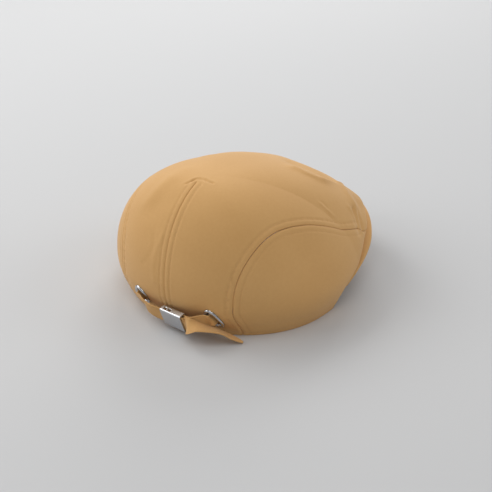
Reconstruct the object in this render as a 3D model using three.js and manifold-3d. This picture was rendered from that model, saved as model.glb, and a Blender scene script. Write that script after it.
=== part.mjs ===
// Flat cap: a cloth crown of three panels, a short stiff peak under its front, and a back
// strap that runs between two metal eyelets through a folded metal buckle.
// Millimetres. +X is the front, +Y the wearer's left, +Z up. The hem rests on z = 0.
import * as THREE from "three";
import { mergeVertices } from "three/addons/utils/BufferGeometryUtils.js";
import Module from "manifold-3d";

const wasm = await Module();
wasm.setup();

// ---- Crown: its hem in plan, and its wall above the hem ----
const HEM_REACH = { front: 127, side: 100, back: 88 };
const FRONT_ROUNDNESS = 2.02; // exponent of the front half's outline, 2 is an ellipse
const CROWN_HEIGHT = 116.8;
const SUMMIT_X = -33.8; // the highest point, behind the middle
// How far the wall stands out past the hem, how high that is, and how full the dome is.
const WALL = {
  front: { bulge: -1.6, height: 8.5, fullness: 1.29 },
  side: { bulge: 11, height: 31, fullness: 1.74 },
  back: { bulge: 12, height: 32.7, fullness: 2.3 },
};
const BULGE_RISE = 0.2; // share of the rise from hem (0) to summit (1) that is under the bulge
const BULGE_ABOVE_HEM = 9; // at least
const HEM_LIFT = { from: 20, height: 47.4, power: 0.43 }; // the hem leaves the floor at x = from
const PANEL_TWIST = 6.5; // degrees that the sewn panels sit turned on the head
const TWIST_SPAN = 120; // degrees from the front over which the turn comes in

const CLOTH = 2; // wall thickness
const HEM_CLOTH = 3; // folded cloth at the hem
const HEM_FOLD_RISE = 0.05;
const GAP = 0.3; // between neighbouring pieces

// ---- Side seam: an arch over each side, from the back of the hem to the front corner ----
const SEAM_FRONT = { angle: 60.7, rise: 0.322, ease: 1.27 };
const SEAM_TOP = { angle: 108.3, rise: 0.59 };
const SEAM_BACK = { angle: 149.1, rise: 0.2 };
// Degrees that the seam's back end bows out half-way up and turns forwards at the hem.
const SEAM_BOW = { out: 1.16, atHem: 6.8, upTo: 0.2, spread: 18 };
// Degrees that the seam's front end leans forward on its way down to the hem. Its gap is
// measured before the lean, which narrows it.
const SEAM_LEAN = { atHem: 14, spread: 20, gap: 0.8 };

// ---- Soft folds of the cloth, each along a line on the head: how far out (+) or in (-) ----
const FOLDS = [
  { name: "front ridge", from: [-27, 0.69], to: [-38.5, 0.6], height: 2, width: 6 },
  { name: "front ridge end", from: [-37.5, 0.57], to: [-30, 0.46], height: 1.4, width: 6 },
  { name: "hollow beyond it", from: [-10, 0.64], to: [-29, 0.53], height: -3, width: 8 },
  { name: "corner edge", from: [-36, 0.45], to: [-46, 0.41], height: 1.4, width: 7 },
  { name: "corner hollow", from: [-41, 0.3], to: [-51, 0.27], height: -2.4, width: 8 },
  { name: "pinch", from: [-52, 0.38], to: [-58, 0.32], height: -2, width: 6 },
  { name: "front roll", from: [-32, 0.2], to: [-48, 0.12], height: 3.8, width: 11 },
  { name: "front hollow", from: [0, 0.5], to: [-18, 0.44], height: -3, width: 13 },
  { name: "left hollow", from: [50, 0.69], to: [30, 0.63], height: -2.2, width: 14 },
  { name: "back hollow", from: [177, 0.71], to: [162, 0.57], height: -1.7, width: 9 },
  { name: "back ridge", from: [145, 0.81], to: [159, 0.63], height: 1.8, width: 9 },
];
const FOLD_CENTRE = { x: -33.8, z: 40 }; // folds stand out straight away from here

// ---- Peak ----
const PEAK = { halfAngle: 72, reach: 12.7, fullTo: 48, fadeTo: 77, depth: 34, corner: 4 };
const PEAK_GAP = 0.8;
const PEAK_THICKNESS = 3;
const PEAK_SLOPE = 0.1; // fall per millimetre in front of the crown

// ---- Eyelets: pull is how far the strap turns the cloth round an eyelet, as a slope ----
const EYELETS = [
  { side: "left", angle: 165.2, rise: 0.122, pull: 0 },
  { side: "right", angle: 201.5, rise: 0.122, pull: 0.3 },
];
const EYELET = { holeWidth: 10.2, holeLength: 16.6, lean: 35, barrel: 0.9, flange: 2.2 };
const FLANGE = { outside: 1.6, inside: 1 }; // how far an eyelet stands off the cloth
const PULL_SPREAD = 9;
const GATHER = { angle: 183.6, halfSpan: 27, depth: 5, rise: 0.26 }; // cloth drawn in between them

// ---- Strap and buckle ----
const STRAP = { width: 14.2, inEyelet: 10.4, thickness: 1.2 };
const BUCKLE = {
  centre: new THREE.Vector3(-101, -23.5, 12.6),
  along: new THREE.Vector3(-0.02, -0.997, 0.07), // from the fixed strap to the adjuster
  up: new THREE.Vector3(-0.28, 0, 0.96),
  length: 25,
  height: 17,
  depth: 6.2,
  plate: 1,
  bevel: 0.7,
};
const SLOT = { length: 3.4, depth: 2.6, behindFace: 1.6, starts: [-9.6, -4.6] };
const BAR = { along: 1, radius: 0.5 };
const STRAP_DEPTH = { outer: 2, inner: 5.2 }; // of the strap's layers behind the buckle's face
const STRAIGHT = { inBuckle: 6, outside: 3 }; // where the strap runs straight at the buckle

// The strap's middle line and the way its width points, where it hangs free.
const LEFT_SPAN = { x: -102.2, y: 3, z: 15, across: [-0.3, -0.2, 0.92], width: 13.4 };
const RIGHT_SPAN = { x: -94.6, y: -43.5, z: 16, across: [-0.4, 0.3, 0.87], width: 13.4 };
const TAIL = [
  { x: -103.4, y: -45.5, z: 17.5, across: [0.6, 0.3, 0.74], width: 13.8 },
  { x: -100, y: -52, z: 18.2, across: [0.77, 0.64, 0.05], width: 14.4 },
  { x: -92.8, y: -58.2, z: 15.3, across: [0.59, 0.8, -0.14], width: 14 },
  { x: -85.3, y: -63.9, z: 11.5, across: [0.57, 0.79, -0.22], width: 13 },
  { x: -78.8, y: -70.8, z: 6.1, across: [0.71, 0.67, -0.19], width: 10 },
  { x: -73.2, y: -79.2, z: 1.6, across: [0.83, 0.56, 0], width: 2.4 },
];
// The strap's way through an eyelet: off the cloth, and along it, from the eyelet's centre.
const THROUGH_EYELET = [
  { off: -10, on: -9 },
  { off: -8, on: -3.5 },
  { off: -4, on: -0.3 },
  { off: 0, on: 0 },
  { off: 2.6, on: 0.6 },
  { off: 4.2, on: 5.2 },
];

const CAP_COLOUR = 0xb98a55;
const STEEL_COLOUR = 0xb4b6b8;

// ---------------------------------------------------------------- crown surface

const toRadians = THREE.MathUtils.degToRad;
const smooth = (t) => THREE.MathUtils.smoothstep(t, 0, 1);

function foldAngle(angle) {
  return THREE.MathUtils.euclideanModulo(angle + 180, 360) - 180;
}

// The hem in plan, and its height, in the direction that a head angle gives.
function hemPoint(headAngle) {
  const c = Math.cos(toRadians(headAngle));
  const s = Math.sin(toRadians(headAngle));
  const reach = c > 0 ? HEM_REACH.front : HEM_REACH.back;
  const power = c > 0 ? FRONT_ROUNDNESS : 2;
  const r = (Math.abs(c) ** power + Math.abs(s) ** power) ** (-1 / power);
  const x = reach * r * c;
  const lift = smooth((x - HEM_LIFT.from) / (HEM_REACH.front - HEM_LIFT.from));
  return new THREE.Vector3(x, HEM_REACH.side * r * s, HEM_LIFT.height * lift ** HEM_LIFT.power);
}

// A point of the plain body at a head angle and a rise from hem (0) to summit (1).
function bodyPoint(headAngle, rise) {
  const c = Math.cos(toRadians(headAngle));
  const share = { front: Math.max(c, 0) ** 2, side: 1 - c * c, back: Math.max(-c, 0) ** 2 };
  const mix = (key) => share.front * WALL.front[key] + share.side * WALL.side[key]
    + share.back * WALL.back[key];
  const hem = hemPoint(headAngle);
  const out = new THREE.Vector3(hem.x - SUMMIT_X, hem.y, 0);
  const reach = out.length();
  out.normalize();
  const bulgeZ = Math.max(mix("height") + share.front * hem.z, hem.z + BULGE_ABOVE_HEM);
  let distance;
  let z;
  if (rise < BULGE_RISE) {
    const low = rise / BULGE_RISE;
    distance = reach + mix("bulge") * Math.sin((low * Math.PI) / 2);
    z = hem.z + (bulgeZ - hem.z) * low;
  } else {
    const inward = Math.cos((((rise - BULGE_RISE) / (1 - BULGE_RISE)) * Math.PI) / 2);
    distance = (reach + mix("bulge")) * inward;
    z = bulgeZ + (CROWN_HEIGHT - bulgeZ) * (1 - inward ** 2) ** (1 / mix("fullness"));
  }
  return new THREE.Vector3(SUMMIT_X + out.x * distance, out.y * distance, z);
}

// How far the cloth at the seam's front end leans forward, in degrees.
function seamLean(angle, rise) {
  const away = (angle - SEAM_FRONT.angle) / SEAM_LEAN.spread;
  return SEAM_LEAN.atHem * Math.max(1 - rise / SEAM_FRONT.rise, 0) * Math.exp(-away * away);
}

// A panel angle follows the sewn panels: it bows with the side seam and turns with the twist.
function headAngleOf(panelAngle, rise) {
  const angle = foldAngle(panelAngle);
  const share = Math.min(rise / SEAM_BACK.rise, 1);
  const bow = SEAM_BOW.out * Math.sin(Math.PI * share)
    - SEAM_BOW.atHem * (1 - smooth(rise / SEAM_BOW.upTo));
  const away = (Math.abs(angle) - SEAM_BACK.angle) / SEAM_BOW.spread;
  const shift = bow * Math.exp(-away * away) - seamLean(Math.abs(angle), rise);
  const turned = angle + Math.sign(angle) * shift;
  return turned + PANEL_TWIST * smooth(Math.abs(turned) / TWIST_SPAN);
}

// How far the strap draws the back of the cloth in (negative) or out.
function strapPull(panelAngle, rise, point) {
  const fromMiddle = foldAngle(panelAngle - GATHER.angle) / GATHER.halfSpan;
  let pull = 0;
  if (Math.abs(fromMiddle) < 1) {
    const low = 1 - smooth(rise / GATHER.rise);
    pull -= GATHER.depth * Math.cos((fromMiddle * Math.PI) / 2) ** 2 * low;
  }
  for (const eyelet of EYELETS) {
    const centre = bodyPoint(headAngleOf(eyelet.angle, eyelet.rise), eyelet.rise);
    const away = point.distanceTo(centre);
    const outside = (eyelet.angle - GATHER.angle) * foldAngle(panelAngle - eyelet.angle);
    const along = Math.sign(outside) * Math.hypot(point.x - centre.x, point.y - centre.y);
    pull += eyelet.pull * along * Math.exp(-((away / PULL_SPREAD) ** 2) / 2);
  }
  return pull;
}

const foldLines = FOLDS.map(({ from, to, height, width }) => (
  { line: new THREE.Line3(bodyPoint(...from), bodyPoint(...to)), height, width }));

// The height of the soft folds at a point: a bell curve across each fold's line.
function foldHeight(point) {
  const nearest = new THREE.Vector3();
  let total = 0;
  for (const { line, height, width } of foldLines) {
    const away = line.closestPointToPoint(point, true, nearest).distanceTo(point);
    total += height * Math.exp(-((away / width) ** 2));
  }
  return total;
}

function crownPoint(panelAngle, rise) {
  const point = bodyPoint(headAngleOf(panelAngle, rise), rise);
  const level = new THREE.Vector3(point.x - SUMMIT_X, point.y, 0).normalize();
  const pull = rise > 2 * BULGE_RISE ? 0 : strapPull(panelAngle, rise, point);
  const outwards = new THREE.Vector3(point.x - FOLD_CENTRE.x, point.y, point.z - FOLD_CENTRE.z);
  const fold = foldHeight(point);
  return point.addScaledVector(outwards.normalize(), fold).addScaledVector(level, pull);
}

const NORMAL_STEP = { degrees: 0.4, rise: 0.004 };

function crownNormal(panelAngle, rise) {
  if (rise > 1 - NORMAL_STEP.rise) return new THREE.Vector3(0, 0, 1);
  const { degrees, rise: step } = NORMAL_STEP;
  const along = crownPoint(panelAngle + degrees, rise).sub(crownPoint(panelAngle - degrees, rise));
  const low = Math.max(rise - step, 0);
  const upward = crownPoint(panelAngle, rise + step).sub(crownPoint(panelAngle, low));
  return along.cross(upward).normalize();
}

// The inside of the cloth: level with the outside at the hem, square to it above.
function crownInside(panelAngle, rise) {
  const point = crownPoint(panelAngle, rise);
  const normal = crownNormal(panelAngle, rise);
  if (rise === 0) normal.setZ(0).normalize();
  const fold = 1 - smooth(rise / HEM_FOLD_RISE);
  return point.addScaledVector(normal, -(CLOTH + (HEM_CLOTH - CLOTH) * fold));
}

// ---------------------------------------------------------------- solids from sheets

function geometryOf(points, triangles) {
  const geometry = new THREE.BufferGeometry();
  const positions = new Float32Array(points.length * 3);
  points.forEach((point, i) => point.toArray(positions, i * 3));
  geometry.setAttribute("position", new THREE.BufferAttribute(positions, 3));
  geometry.setIndex(triangles);
  return geometry;
}

// Closes two matching sheets into a solid. Faces are triangles, seen from outside the first.
function solidBetween(outside, inside, faces) {
  const n = outside.length;
  const triangles = [];
  const edges = new Set();
  for (const [a, b, c] of faces) {
    triangles.push(a, b, c, n + a, n + c, n + b);
    for (const [from, to] of [[a, b], [b, c], [c, a]]) edges.add(`${from},${to}`);
  }
  for (const edge of edges) {
    const [from, to] = edge.split(",").map(Number);
    if (edges.has(`${to},${from}`)) continue;
    // The diagonal climbs inwards on both sides of a seam, so that the gap stays even.
    const climbs = outside[from].z < outside[to].z;
    if (climbs) triangles.push(to, from, n + to, from, n + from, n + to);
    else triangles.push(to, from, n + from, to, n + from, n + to);
  }
  return geometryOf([...outside, ...inside], triangles);
}

// A ring of points swept round: rows of equal length, closed both ways.
function closedSweep(rows) {
  const sides = rows[0].length;
  const triangles = [];
  for (let i = 0; i < rows.length; i++) {
    for (let j = 0; j < sides; j++) {
      const a = i * sides + j;
      const b = i * sides + ((j + 1) % sides);
      const c = ((i + 1) % rows.length) * sides + ((j + 1) % sides);
      const d = ((i + 1) % rows.length) * sides + j;
      triangles.push(a, c, b, a, d, c);
    }
  }
  return geometryOf(rows.flat(), triangles);
}

// Rows of equal length swept along a path, with a flat face at each end.
function cappedSweep(rows) {
  const sides = rows[0].length;
  const last = (rows.length - 1) * sides;
  const triangles = [];
  for (let i = 0; i + 1 < rows.length; i++) {
    for (let j = 0; j < sides; j++) {
      const a = i * sides + j;
      const b = i * sides + ((j + 1) % sides);
      triangles.push(a, b, b + sides, a, b + sides, a + sides);
    }
  }
  for (let j = 1; j + 1 < sides; j++) {
    triangles.push(0, j + 1, j, last, last + j, last + j + 1);
  }
  return geometryOf(rows.flat(), triangles);
}

function toManifold(geometry) {
  const bare = geometry.clone();
  bare.deleteAttribute("normal");
  bare.deleteAttribute("uv");
  const merged = mergeVertices(bare, 1e-4);
  const vertProperties = new Float32Array(merged.attributes.position.array);
  const triVerts = new Uint32Array(merged.index.array);
  return new wasm.Manifold(new wasm.Mesh({ numProp: 3, vertProperties, triVerts }));
}

function fromManifold(solid) {
  const mesh = solid.getMesh();
  const geometry = new THREE.BufferGeometry();
  geometry.setAttribute("position", new THREE.BufferAttribute(mesh.vertProperties, 3));
  geometry.setIndex(new THREE.BufferAttribute(mesh.triVerts, 1));
  return geometry;
}

// ---------------------------------------------------------------- crown panels

const SIDE_COLUMNS = 20;
const FRONT_COLUMNS = 20;
const BACK_COLUMNS = 20;
const LOW_ROWS = 8; // below the side seam
const HIGH_ROWS = 12;
const MM_PER_DEGREE = 1.5; // round the crown's wall
const MM_PER_RISE = 115; // up the crown's wall
const SEAM_CROWDING = 1.2; // how much closer the columns are at the seam's steep back end

// The side seam's rise at a panel angle between its two ends: a quarter ellipse down to the
// back and an eased quarter cosine down to the front.
function seamRise(panelAngle) {
  if (panelAngle > SEAM_TOP.angle) {
    const share = (panelAngle - SEAM_TOP.angle) / (SEAM_BACK.angle - SEAM_TOP.angle);
    const height = Math.sqrt(Math.max(1 - share * share, 0));
    return SEAM_BACK.rise + (SEAM_TOP.rise - SEAM_BACK.rise) * height;
  }
  const share = (SEAM_TOP.angle - panelAngle) / (SEAM_TOP.angle - SEAM_FRONT.angle);
  const drop = (1 - Math.cos((share * Math.PI) / 2)) ** SEAM_FRONT.ease;
  return SEAM_TOP.rise - (SEAM_TOP.rise - SEAM_FRONT.rise) * drop;
}

// Angles along the side seam from its back end to its front end, closer together at the back.
function sideAngle(step) {
  const share = (step / SIDE_COLUMNS) ** SEAM_CROWDING;
  return SEAM_BACK.angle + (SEAM_FRONT.angle - SEAM_BACK.angle) * share;
}

// The edge of a panel along the side seam, half the gap above (+1) or below (-1) the seam.
function seamEdge(above) {
  const seam = [{ angle: SEAM_BACK.angle, rise: 0 }];
  for (let i = 0; i <= SIDE_COLUMNS; i++) {
    seam.push({ angle: sideAngle(i), rise: seamRise(sideAngle(i)) });
  }
  seam.push({ angle: SEAM_FRONT.angle, rise: 0 });
  const flat = seam.map(({ angle, rise }) => (
    new THREE.Vector2((angle - seamLean(angle, rise)) * MM_PER_DEGREE, rise * MM_PER_RISE)
  ));
  const squareTo = (from, to) => {
    const way = to.clone().sub(from).normalize();
    return new THREE.Vector2(way.y, -way.x);
  };
  const edge = [];
  for (let i = 1; i + 1 < seam.length; i++) {
    const before = squareTo(flat[i - 1], flat[i]);
    const after = squareTo(flat[i], flat[i + 1]);
    const gap = i > SIDE_COLUMNS ? SEAM_LEAN.gap : GAP;
    const out = before.clone().add(after).multiplyScalar((above * gap) / 2 / (1 + before.dot(after)));
    const { angle, rise } = seam[i];
    const height = rise + out.y / MM_PER_RISE;
    const leans = seamLean(angle, height) - seamLean(angle, rise);
    edge.push({ angle: angle + out.x / MM_PER_DEGREE + leans, rise: height });
  }
  return edge;
}

function quad(faces, a, b, c, d) {
  faces.push([a, b, c], [a, c, d]);
}

// The side panel on the left (+1) or right (-1), all below the side seam.
function sidePanel(side) {
  const outside = [];
  const inside = [];
  const faces = [];
  for (const { angle, rise } of seamEdge(-1)) {
    for (let j = 0; j <= LOW_ROWS; j++) {
      outside.push(crownPoint(side * angle, (rise * j) / LOW_ROWS));
      inside.push(crownInside(side * angle, (rise * j) / LOW_ROWS));
    }
  }
  for (let i = 0; i < SIDE_COLUMNS; i++) {
    for (let j = 0; j < LOW_ROWS; j++) {
      const a = i * (LOW_ROWS + 1) + j;
      const b = a + LOW_ROWS + 1;
      if (side < 0) quad(faces, a, b, b + 1, a + 1);
      else quad(faces, a, a + 1, b + 1, b);
    }
  }
  return solidBetween(outside, inside, faces);
}

// The top panel's columns all round: whole columns at the front and back reach the hem, and
// the columns over a side panel start at its seam.
function topPanelColumns() {
  const edge = seamEdge(1);
  const back = edge[0];
  const front = edge[SIDE_COLUMNS];
  const columns = [];
  for (let i = 0; i <= FRONT_COLUMNS; i++) {
    const angle = front.angle * ((2 * i) / FRONT_COLUMNS - 1);
    columns.push({ angle, start: front.rise, whole: true });
  }
  for (let i = SIDE_COLUMNS - 1; i > 0; i--) {
    columns.push({ angle: edge[i].angle, start: edge[i].rise });
  }
  for (let i = 0; i <= BACK_COLUMNS; i++) {
    const angle = back.angle + (2 * (180 - back.angle) * i) / BACK_COLUMNS;
    columns.push({ angle, start: back.rise, whole: true });
  }
  for (let i = 1; i < SIDE_COLUMNS; i++) {
    columns.push({ angle: -edge[i].angle, start: edge[i].rise });
  }
  return columns;
}

function topPanel() {
  const columns = topPanelColumns();
  const outside = [];
  const inside = [];
  const index = columns.map(() => []);
  const add = (angle, rise) => {
    outside.push(crownPoint(angle, rise));
    inside.push(crownInside(angle, rise));
    return outside.length - 1;
  };
  columns.forEach(({ angle, start, whole }, i) => {
    for (let j = whole ? 0 : LOW_ROWS; j < LOW_ROWS; j++) {
      index[i][j] = add(angle, (start * j) / LOW_ROWS);
    }
    for (let j = 0; j < HIGH_ROWS; j++) {
      index[i][LOW_ROWS + j] = add(angle, start + ((1 - start) * j) / HIGH_ROWS);
    }
  });
  const summit = add(0, 1);
  const faces = [];
  columns.forEach((column, i) => {
    const next = (i + 1) % columns.length;
    const low = column.whole && columns[next].whole ? 0 : LOW_ROWS;
    const top = LOW_ROWS + HIGH_ROWS - 1;
    for (let j = low; j < top; j++) {
      quad(faces, index[i][j], index[next][j], index[next][j + 1], index[i][j + 1]);
    }
    faces.push([index[i][top], index[next][top], summit]);
  });
  let solid = toManifold(solidBetween(outside, inside, faces));
  for (const eyelet of EYELETS) {
    solid = solid.subtract(toManifold(eyeletHole(eyelet)));
    solid = solid.subtract(toManifold(eyeletRing(eyelet, EYELET_ROOM)));
  }
  return fromManifold(solid);
}

// ---------------------------------------------------------------- eyelets

const EYELET_STEPS = 24;
const FLANGE_STEPS = 4; // over the rounded outside of an eyelet
const EYELET_ROOM = 0.8; // between an eyelet and the cloth it grips

// A point over the cloth: along it and up it from an eyelet's centre, and off it.
function pointAtEyelet(eyelet, along, up, off) {
  const step = 0.01;
  const perDegree = crownPoint(eyelet.angle + 1, eyelet.rise)
    .distanceTo(crownPoint(eyelet.angle - 1, eyelet.rise)) / 2;
  const perRise = crownPoint(eyelet.angle, eyelet.rise + step)
    .distanceTo(crownPoint(eyelet.angle, eyelet.rise - step)) / (2 * step);
  const angle = eyelet.angle + along / perDegree;
  const rise = eyelet.rise + up / perRise;
  return crownPoint(angle, rise).addScaledVector(crownNormal(angle, rise), off);
}

// Points round an eyelet's leaning oval hole, spread is how far outside the hole's edge.
function eyeletOval(eyelet, step, spread, off) {
  const turn = (2 * Math.PI * step) / EYELET_STEPS;
  const wide = (EYELET.holeWidth / 2 + spread) * Math.cos(turn);
  const long = (EYELET.holeLength / 2 + spread) * Math.sin(turn);
  const lean = toRadians(EYELET.lean);
  return pointAtEyelet(eyelet, wide * Math.cos(lean) - long * Math.sin(lean),
    wide * Math.sin(lean) + long * Math.cos(lean), off);
}

// A metal ring that grips the cloth: a half-round flange outside, a barrel and a flange inside.
// Spare makes it larger all round, as the space that the cloth leaves for it.
function eyeletRing(eyelet, spare = 0) {
  const inner = -EYELET.barrel - GAP - spare;
  const outer = EYELET.flange + spare;
  const behind = -CLOTH - GAP + spare;
  const back = behind - FLANGE.inside - 2 * spare;
  const front = GAP - spare;
  const profile = [
    { spread: inner, off: back },
    { spread: outer, off: back },
    { spread: outer, off: behind },
    { spread: spare - GAP, off: behind },
    { spread: spare - GAP, off: front },
  ];
  for (let i = 0; i <= FLANGE_STEPS; i++) {
    const turn = (Math.PI * i) / FLANGE_STEPS;
    profile.push({
      spread: (outer + inner) / 2 + ((outer - inner) / 2) * Math.cos(turn),
      off: front + (FLANGE.outside + 2 * spare) * Math.sin(turn),
    });
  }
  const rows = [];
  for (let i = 0; i < EYELET_STEPS; i++) {
    rows.push(profile.map(({ spread, off }) => eyeletOval(eyelet, i, spread, off)));
  }
  return closedSweep(rows);
}

// The plug of cloth that the hole takes out, square to the cloth all round.
function eyeletHole(eyelet) {
  const reach = 2 * CLOTH;
  const rows = [-reach, reach].map((off) => {
    const row = [];
    for (let i = 0; i < EYELET_STEPS; i++) row.push(eyeletOval(eyelet, i, 0, off));
    return row;
  });
  return cappedSweep(rows);
}

// ---------------------------------------------------------------- peak

const PEAK_COLUMNS = 40;
const PEAK_ROWS = 4;

// A point of the peak's upper face at a head angle, at a share from its root to its edge.
function peakPoint(headAngle, share) {
  const hem = hemPoint(headAngle);
  const out = new THREE.Vector3(hem.x - SUMMIT_X, hem.y, 0).normalize();
  const fade = (PEAK.fadeTo - Math.abs(headAngle)) / (PEAK.fadeTo - PEAK.fullTo);
  const edge = PEAK.reach * Math.sin((Math.min(fade, 1) * Math.PI) / 2);
  const root = PEAK.depth * Math.cos(toRadians((headAngle * 90) / PEAK.halfAngle)) + PEAK.corner;
  const distance = -root + (root + edge) * share;
  const fall = PEAK_GAP + PEAK_SLOPE * Math.max(distance, 0);
  return hem.addScaledVector(out, distance).setZ(hem.z - fall);
}

function peak() {
  const upper = [];
  const lower = [];
  const faces = [];
  for (let i = 0; i <= PEAK_COLUMNS; i++) {
    const angle = -PEAK.halfAngle + (2 * PEAK.halfAngle * i) / PEAK_COLUMNS;
    for (let j = 0; j <= PEAK_ROWS; j++) {
      const point = peakPoint(angle, j / PEAK_ROWS);
      upper.push(point);
      lower.push(point.clone().setZ(point.z - PEAK_THICKNESS));
    }
  }
  for (let i = 0; i < PEAK_COLUMNS; i++) {
    for (let j = 0; j < PEAK_ROWS; j++) {
      const a = i * (PEAK_ROWS + 1) + j;
      const b = a + PEAK_ROWS + 1;
      quad(faces, a, a + 1, b + 1, b);
    }
  }
  return solidBetween(upper, lower, faces);
}

// ---------------------------------------------------------------- buckle

const buckleAlong = BUCKLE.along.clone().normalize();
const buckleUp = BUCKLE.up.clone().addScaledVector(buckleAlong, -BUCKLE.up.dot(buckleAlong)).normalize();
const buckleIn = buckleUp.clone().cross(buckleAlong).normalize(); // towards the crown
const BAR_SIDES = 10;
const middleDepth = (STRAP_DEPTH.outer + STRAP_DEPTH.inner) / 2;

function bucklePoint(along, up, depth) {
  return BUCKLE.centre.clone()
    .addScaledVector(buckleAlong, along)
    .addScaledVector(buckleUp, up)
    .addScaledVector(buckleIn, depth);
}

// A block in the buckle's own directions, from one corner to the other.
function buckleBlock([along0, along1], [up0, up1], [depth0, depth1]) {
  const ring = (along) => [
    bucklePoint(along, up0, depth0), bucklePoint(along, up0, depth1),
    bucklePoint(along, up1, depth1), bucklePoint(along, up1, depth0),
  ];
  return cappedSweep([ring(along0), ring(along1)]);
}

// A plate with its long edges folded back, a bar across the inside, and two slots in the top.
function buckle() {
  const half = BUCKLE.height / 2;
  const { plate, bevel, depth, length } = BUCKLE;
  const section = [
    [half, depth], [half, bevel], [half - bevel, 0], [-half + bevel, 0], [-half, bevel],
    [-half, depth], [-half + plate, depth], [-half + plate, plate], [half - plate, plate],
    [half - plate, depth],
  ];
  const rows = [length / 2, -length / 2].map(
    (along) => section.map(([up, deep]) => bucklePoint(along, up, deep)));
  const channel = toManifold(sweepWithCaps(rows, section));
  const barRows = [-half + plate / 2, half - plate / 2].map((up) => {
    const row = [];
    for (let i = 0; i < BAR_SIDES; i++) {
      const turn = (2 * Math.PI * i) / BAR_SIDES;
      row.push(bucklePoint(BAR.along + BAR.radius * Math.cos(turn), up,
        middleDepth + BAR.radius * Math.sin(turn)));
    }
    return row;
  });
  let solid = channel.add(toManifold(cappedSweep(barRows)));
  for (const start of SLOT.starts) {
    const slot = buckleBlock([start, start + SLOT.length], [half - 2 * plate, half + plate],
      [SLOT.behindFace, SLOT.behindFace + SLOT.depth]);
    solid = solid.subtract(toManifold(slot));
  }
  return fromManifold(solid);
}

// Like cappedSweep, with ends that follow a section that isn't convex.
function sweepWithCaps(rows, section) {
  const sides = section.length;
  const outline = section.map(([up, deep]) => new THREE.Vector2(up, deep));
  const triangles = [];
  for (let j = 0; j < sides; j++) {
    const next = (j + 1) % sides;
    triangles.push(j, sides + j, sides + next, j, sides + next, next);
  }
  for (const [a, b, c] of THREE.ShapeUtils.triangulateShape(outline, [])) {
    triangles.push(a, c, b, sides + a, sides + b, sides + c);
  }
  return geometryOf(rows.flat(), triangles);
}

// ---------------------------------------------------------------- straps

const STEPS_BETWEEN = 3; // from one station of a strap to the next

// A flat strap through stations, each with its centre, the direction of its width, and width.
function strap(stations) {
  const steps = STEPS_BETWEEN * (stations.length - 1);
  const centre = new THREE.CatmullRomCurve3(stations.map((s) => s.centre), false, "centripetal");
  const across = new THREE.CatmullRomCurve3(stations.map((s) => s.across), false, "centripetal");
  const widths = new THREE.CatmullRomCurve3(
    stations.map((s, i) => new THREE.Vector3(i * 10, s.width, 0)), false, "centripetal");
  const rows = [];
  for (let i = 0; i <= steps; i++) {
    const t = i / steps;
    const middle = centre.getPoint(t);
    const tangent = centre.getTangent(t);
    const wide = across.getPoint(t);
    wide.addScaledVector(tangent, -wide.dot(tangent)).normalize();
    const face = tangent.clone().cross(wide).normalize();
    const half = widths.getPoint(t).y / 2;
    const thick = STRAP.thickness / 2;
    const corner = (w, f) => middle.clone().addScaledVector(wide, w).addScaledVector(face, f);
    rows.push([
      corner(half, thick), corner(-half, thick), corner(-half, -thick), corner(half, -thick)]);
  }
  return cappedSweep(rows);
}

// The strap's stations through an eyelet, from inside the crown outwards. Towards is +1 where
// the strap outside runs on to larger panel angles.
function eyeletStations(eyelet, towards) {
  const across = eyeletOval(eyelet, EYELET_STEPS / 4, 0, 0)
    .sub(eyeletOval(eyelet, (3 * EYELET_STEPS) / 4, 0, 0)).normalize();
  return THROUGH_EYELET.map(({ off, on }) => (
    { centre: pointAtEyelet(eyelet, towards * on, 0, off), across, width: STRAP.inEyelet }));
}

function freeStation({ x, y, z, across, width }) {
  return { centre: new THREE.Vector3(x, y, z), across: new THREE.Vector3(...across), width };
}

function inBuckle(along, depth) {
  return { centre: bucklePoint(along, 0, depth), across: buckleUp, width: STRAP.width };
}

const buckleEnd = BUCKLE.length / 2;

function fixedStrap() {
  return strap([
    ...eyeletStations(EYELETS[0], 1),
    freeStation(LEFT_SPAN),
    inBuckle(-buckleEnd - STRAIGHT.outside, STRAP_DEPTH.outer),
    inBuckle(-buckleEnd, STRAP_DEPTH.outer),
    inBuckle(-STRAIGHT.inBuckle, STRAP_DEPTH.outer),
  ]);
}

// From the right eyelet behind the buckle's face, round its bar and out in front as the tail.
function adjusterStrap() {
  const turnRadius = (STRAP_DEPTH.inner - STRAP_DEPTH.outer) / 2;
  const roundTheBar = [0, 45, 90, 135, 180].map((degrees) => inBuckle(
    BAR.along - turnRadius * Math.sin(toRadians(degrees)),
    middleDepth + turnRadius * Math.cos(toRadians(degrees))));
  return strap([
    ...eyeletStations(EYELETS[1], -1),
    freeStation(RIGHT_SPAN),
    inBuckle(buckleEnd + STRAIGHT.outside, STRAP_DEPTH.inner),
    inBuckle(STRAIGHT.inBuckle, STRAP_DEPTH.inner),
    ...roundTheBar,
    inBuckle(STRAIGHT.inBuckle, STRAP_DEPTH.outer),
    inBuckle(buckleEnd, STRAP_DEPTH.outer),
    inBuckle(buckleEnd + STRAIGHT.outside, STRAP_DEPTH.outer),
    ...TAIL.map(freeStation),
  ]);
}

// ---------------------------------------------------------------- the cap

const cloth = () => new THREE.MeshStandardMaterial(
  { color: CAP_COLOUR, roughness: 0.9, metalness: 0 });
const steel = () => new THREE.MeshStandardMaterial(
  { color: STEEL_COLOUR, roughness: 0.3, metalness: 1 });

const cap = new THREE.Group();

function addPiece(name, geometry, material) {
  const mesh = new THREE.Mesh(geometry, material);
  mesh.name = name;
  cap.add(mesh);
}

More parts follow.
